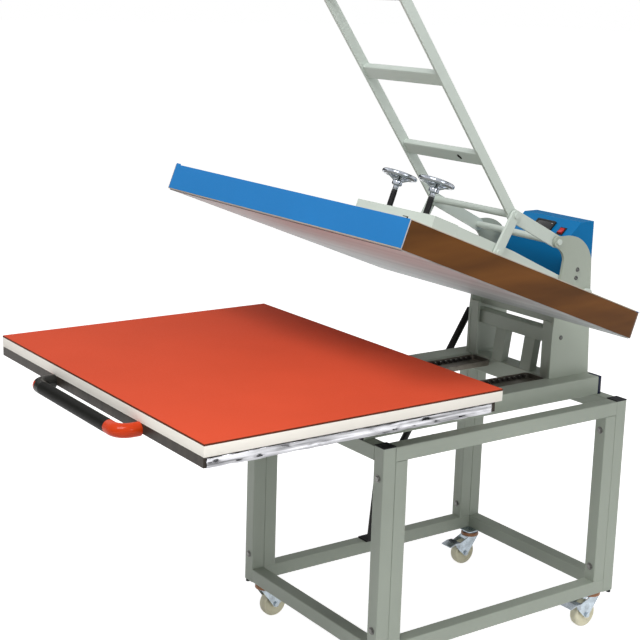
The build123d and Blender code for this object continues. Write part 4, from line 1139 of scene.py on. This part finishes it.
# %% Controller screen
PANEL_CENTRE = (782.5, 1094.1)
PANEL_SLOPE = Vector((0, 45, 41.4)).normalized()
CONTROLLER = (-3, -4.4)
SCREEN_HALF = (30.6, 12.6)
SCREEN_DEPTH = (2.9, 4.1)
SCREEN_EDGE = 0.5
LAMP_FROM_CORNER = ((-7, -5), (-3, -3))
LAMP_DEPTH = (3.6, 4.6)
LAMP_EDGE = 0.4
SCREEN_GLASS = finish("screen_glass", (0.030, 0.030, 0.032), 0.15, spread=0.02, specular=0.25)
LAMP_GLASS = finish("lamp_glass", (0.55, 0.52, 0.46), 0.3)


def on_panel(across, up, out):
    """A point on the slanted panel, in the frame's metres."""
    spot = Vector((across, PANEL_CENTRE[0], PANEL_CENTRE[1])) + PANEL_SLOPE * up
    spot += Vector((0, -PANEL_SLOPE.z, PANEL_SLOPE.y)) * out
    return at(*spot)


across, up = CONTROLLER
wide, tall = SCREEN_HALF
screen = [(across + end * wide, up + end * tall, out) for end, out in zip((-1, 1), SCREEN_DEPTH)]
lamp = [(across + wide + x, up + tall + y, out) for (x, y), out in zip(LAMP_FROM_CORNER, LAMP_DEPTH)]
for name, box, edge, material in (
    ("controller_screen", screen, SCREEN_EDGE, SCREEN_GLASS),
    ("controller_lamp", lamp, LAMP_EDGE, LAMP_GLASS),
):
    bars(name, "instrument_black", "bench", boxes=[box], place=on_panel, edge=edge, material=material)
print("panel done")

# %% [markdown]
# The first rung of the ladder has an oblong hole near its right end. The tube is hollow, so the hole
# looks black. A dark oval block of painted shade fills it and stands a hair out of the face.

# %% Rung hole
LADDER_TURN = math.radians(125.6)
LADDER_PLACE = Matrix.Translation(JOINTS["link_knee"]["pos_m"]) @ Matrix.Rotation(LADDER_TURN, 4, "X")
HOLE_SPOT = (69, 186, 0)
HOLE_TURN = math.radians(-45)
HOLE_LONG = 17
HOLE_WIDE = 9.5
RUNG_FACE = 9
SHADE_BLOCK_DEPTH = 2.5
SHADE_BLOCK_PROUD = 0.15
# Painted shade: the hole's dark fill stands for the shade inside the hollow rung.
HOLE_SHADE = finish("hole_shade", (0.006, 0.006, 0.006), 0.7, specular=0.1)


def oval_shade_block(low, high, place, steps=12):
    """An oval block: two half circles joined by straight sides."""
    build = bmesh.new()
    rows = []
    for height in (low, high):
        row = []
        for step in range(2 * steps + 2):
            end, turn = (1, step) if step <= steps else (-1, step - 1)
            angle = math.pi * turn / steps - math.pi / 2
            x = end * (HOLE_LONG - HOLE_WIDE) / 2 + HOLE_WIDE / 2 * math.cos(angle)
            y = HOLE_WIDE / 2 * math.sin(angle)
            row.append(build.verts.new(place @ (Vector((x, y, height)) * MM)))
        rows.append(row)
    count = len(rows[0])
    for step in range(count):
        after = (step + 1) % count
        build.faces.new((rows[0][step], rows[0][after], rows[1][after], rows[1][step]))
    build.faces.new(rows[0][::-1])
    build.faces.new(rows[1])
    outward(build)
    return build


# The oval block is painted shade set into the hole.
place = LADDER_PLACE @ Matrix.Translation(Vector(HOLE_SPOT) * MM) @ Matrix.Rotation(HOLE_TURN, 4, "Z")
hole_shade_block = oval_shade_block(RUNG_FACE - SHADE_BLOCK_DEPTH, RUNG_FACE + SHADE_BLOCK_PROUD, place)
piece("rung_hole_dark", hole_shade_block, "black_plastic", "lever", material=HOLE_SHADE)
print("rung hole done")

# %% [markdown]
# The two long rails of the base carry a dark blue cap on their rear ends. A cap's skirt covers the
# last few millimetres of the tube.

# %% Rail caps
RAIL_LOW, RAIL_HIGH = (drawn(corner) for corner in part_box("base_frame"))
RAIL_WIDTH = 38
CAP_SKIRT = 9
CAP_WALL = 0.6
CAP_RAISE = 1
CAP_EDGE = 0.4
CAP_NAVY = finish("cap_navy", (0.006, 0.009, 0.035), 0.45, specular=0.2)


def rail_caps():
    """A box round the rear end of each rail."""
    boxes = []
    for side in (-1, 1):
        outer = side * (RAIL_HIGH[0] + CAP_WALL)
        inner = side * (RAIL_HIGH[0] - RAIL_WIDTH - CAP_WALL)
        x0, x1 = sorted((outer, inner))
        rear, top = RAIL_HIGH[1] + CAP_WALL, RAIL_HIGH[2] + CAP_WALL
        boxes.append(((x0, rear - CAP_SKIRT, RAIL_LOW[2] + CAP_RAISE), (x1, rear, top)))
    return boxes


caps = rail_caps()
bars("rail_rear_caps", "black_plastic", "bench", boxes=caps, place=at, edge=CAP_EDGE, material=CAP_NAVY)
print("rail caps: 2")
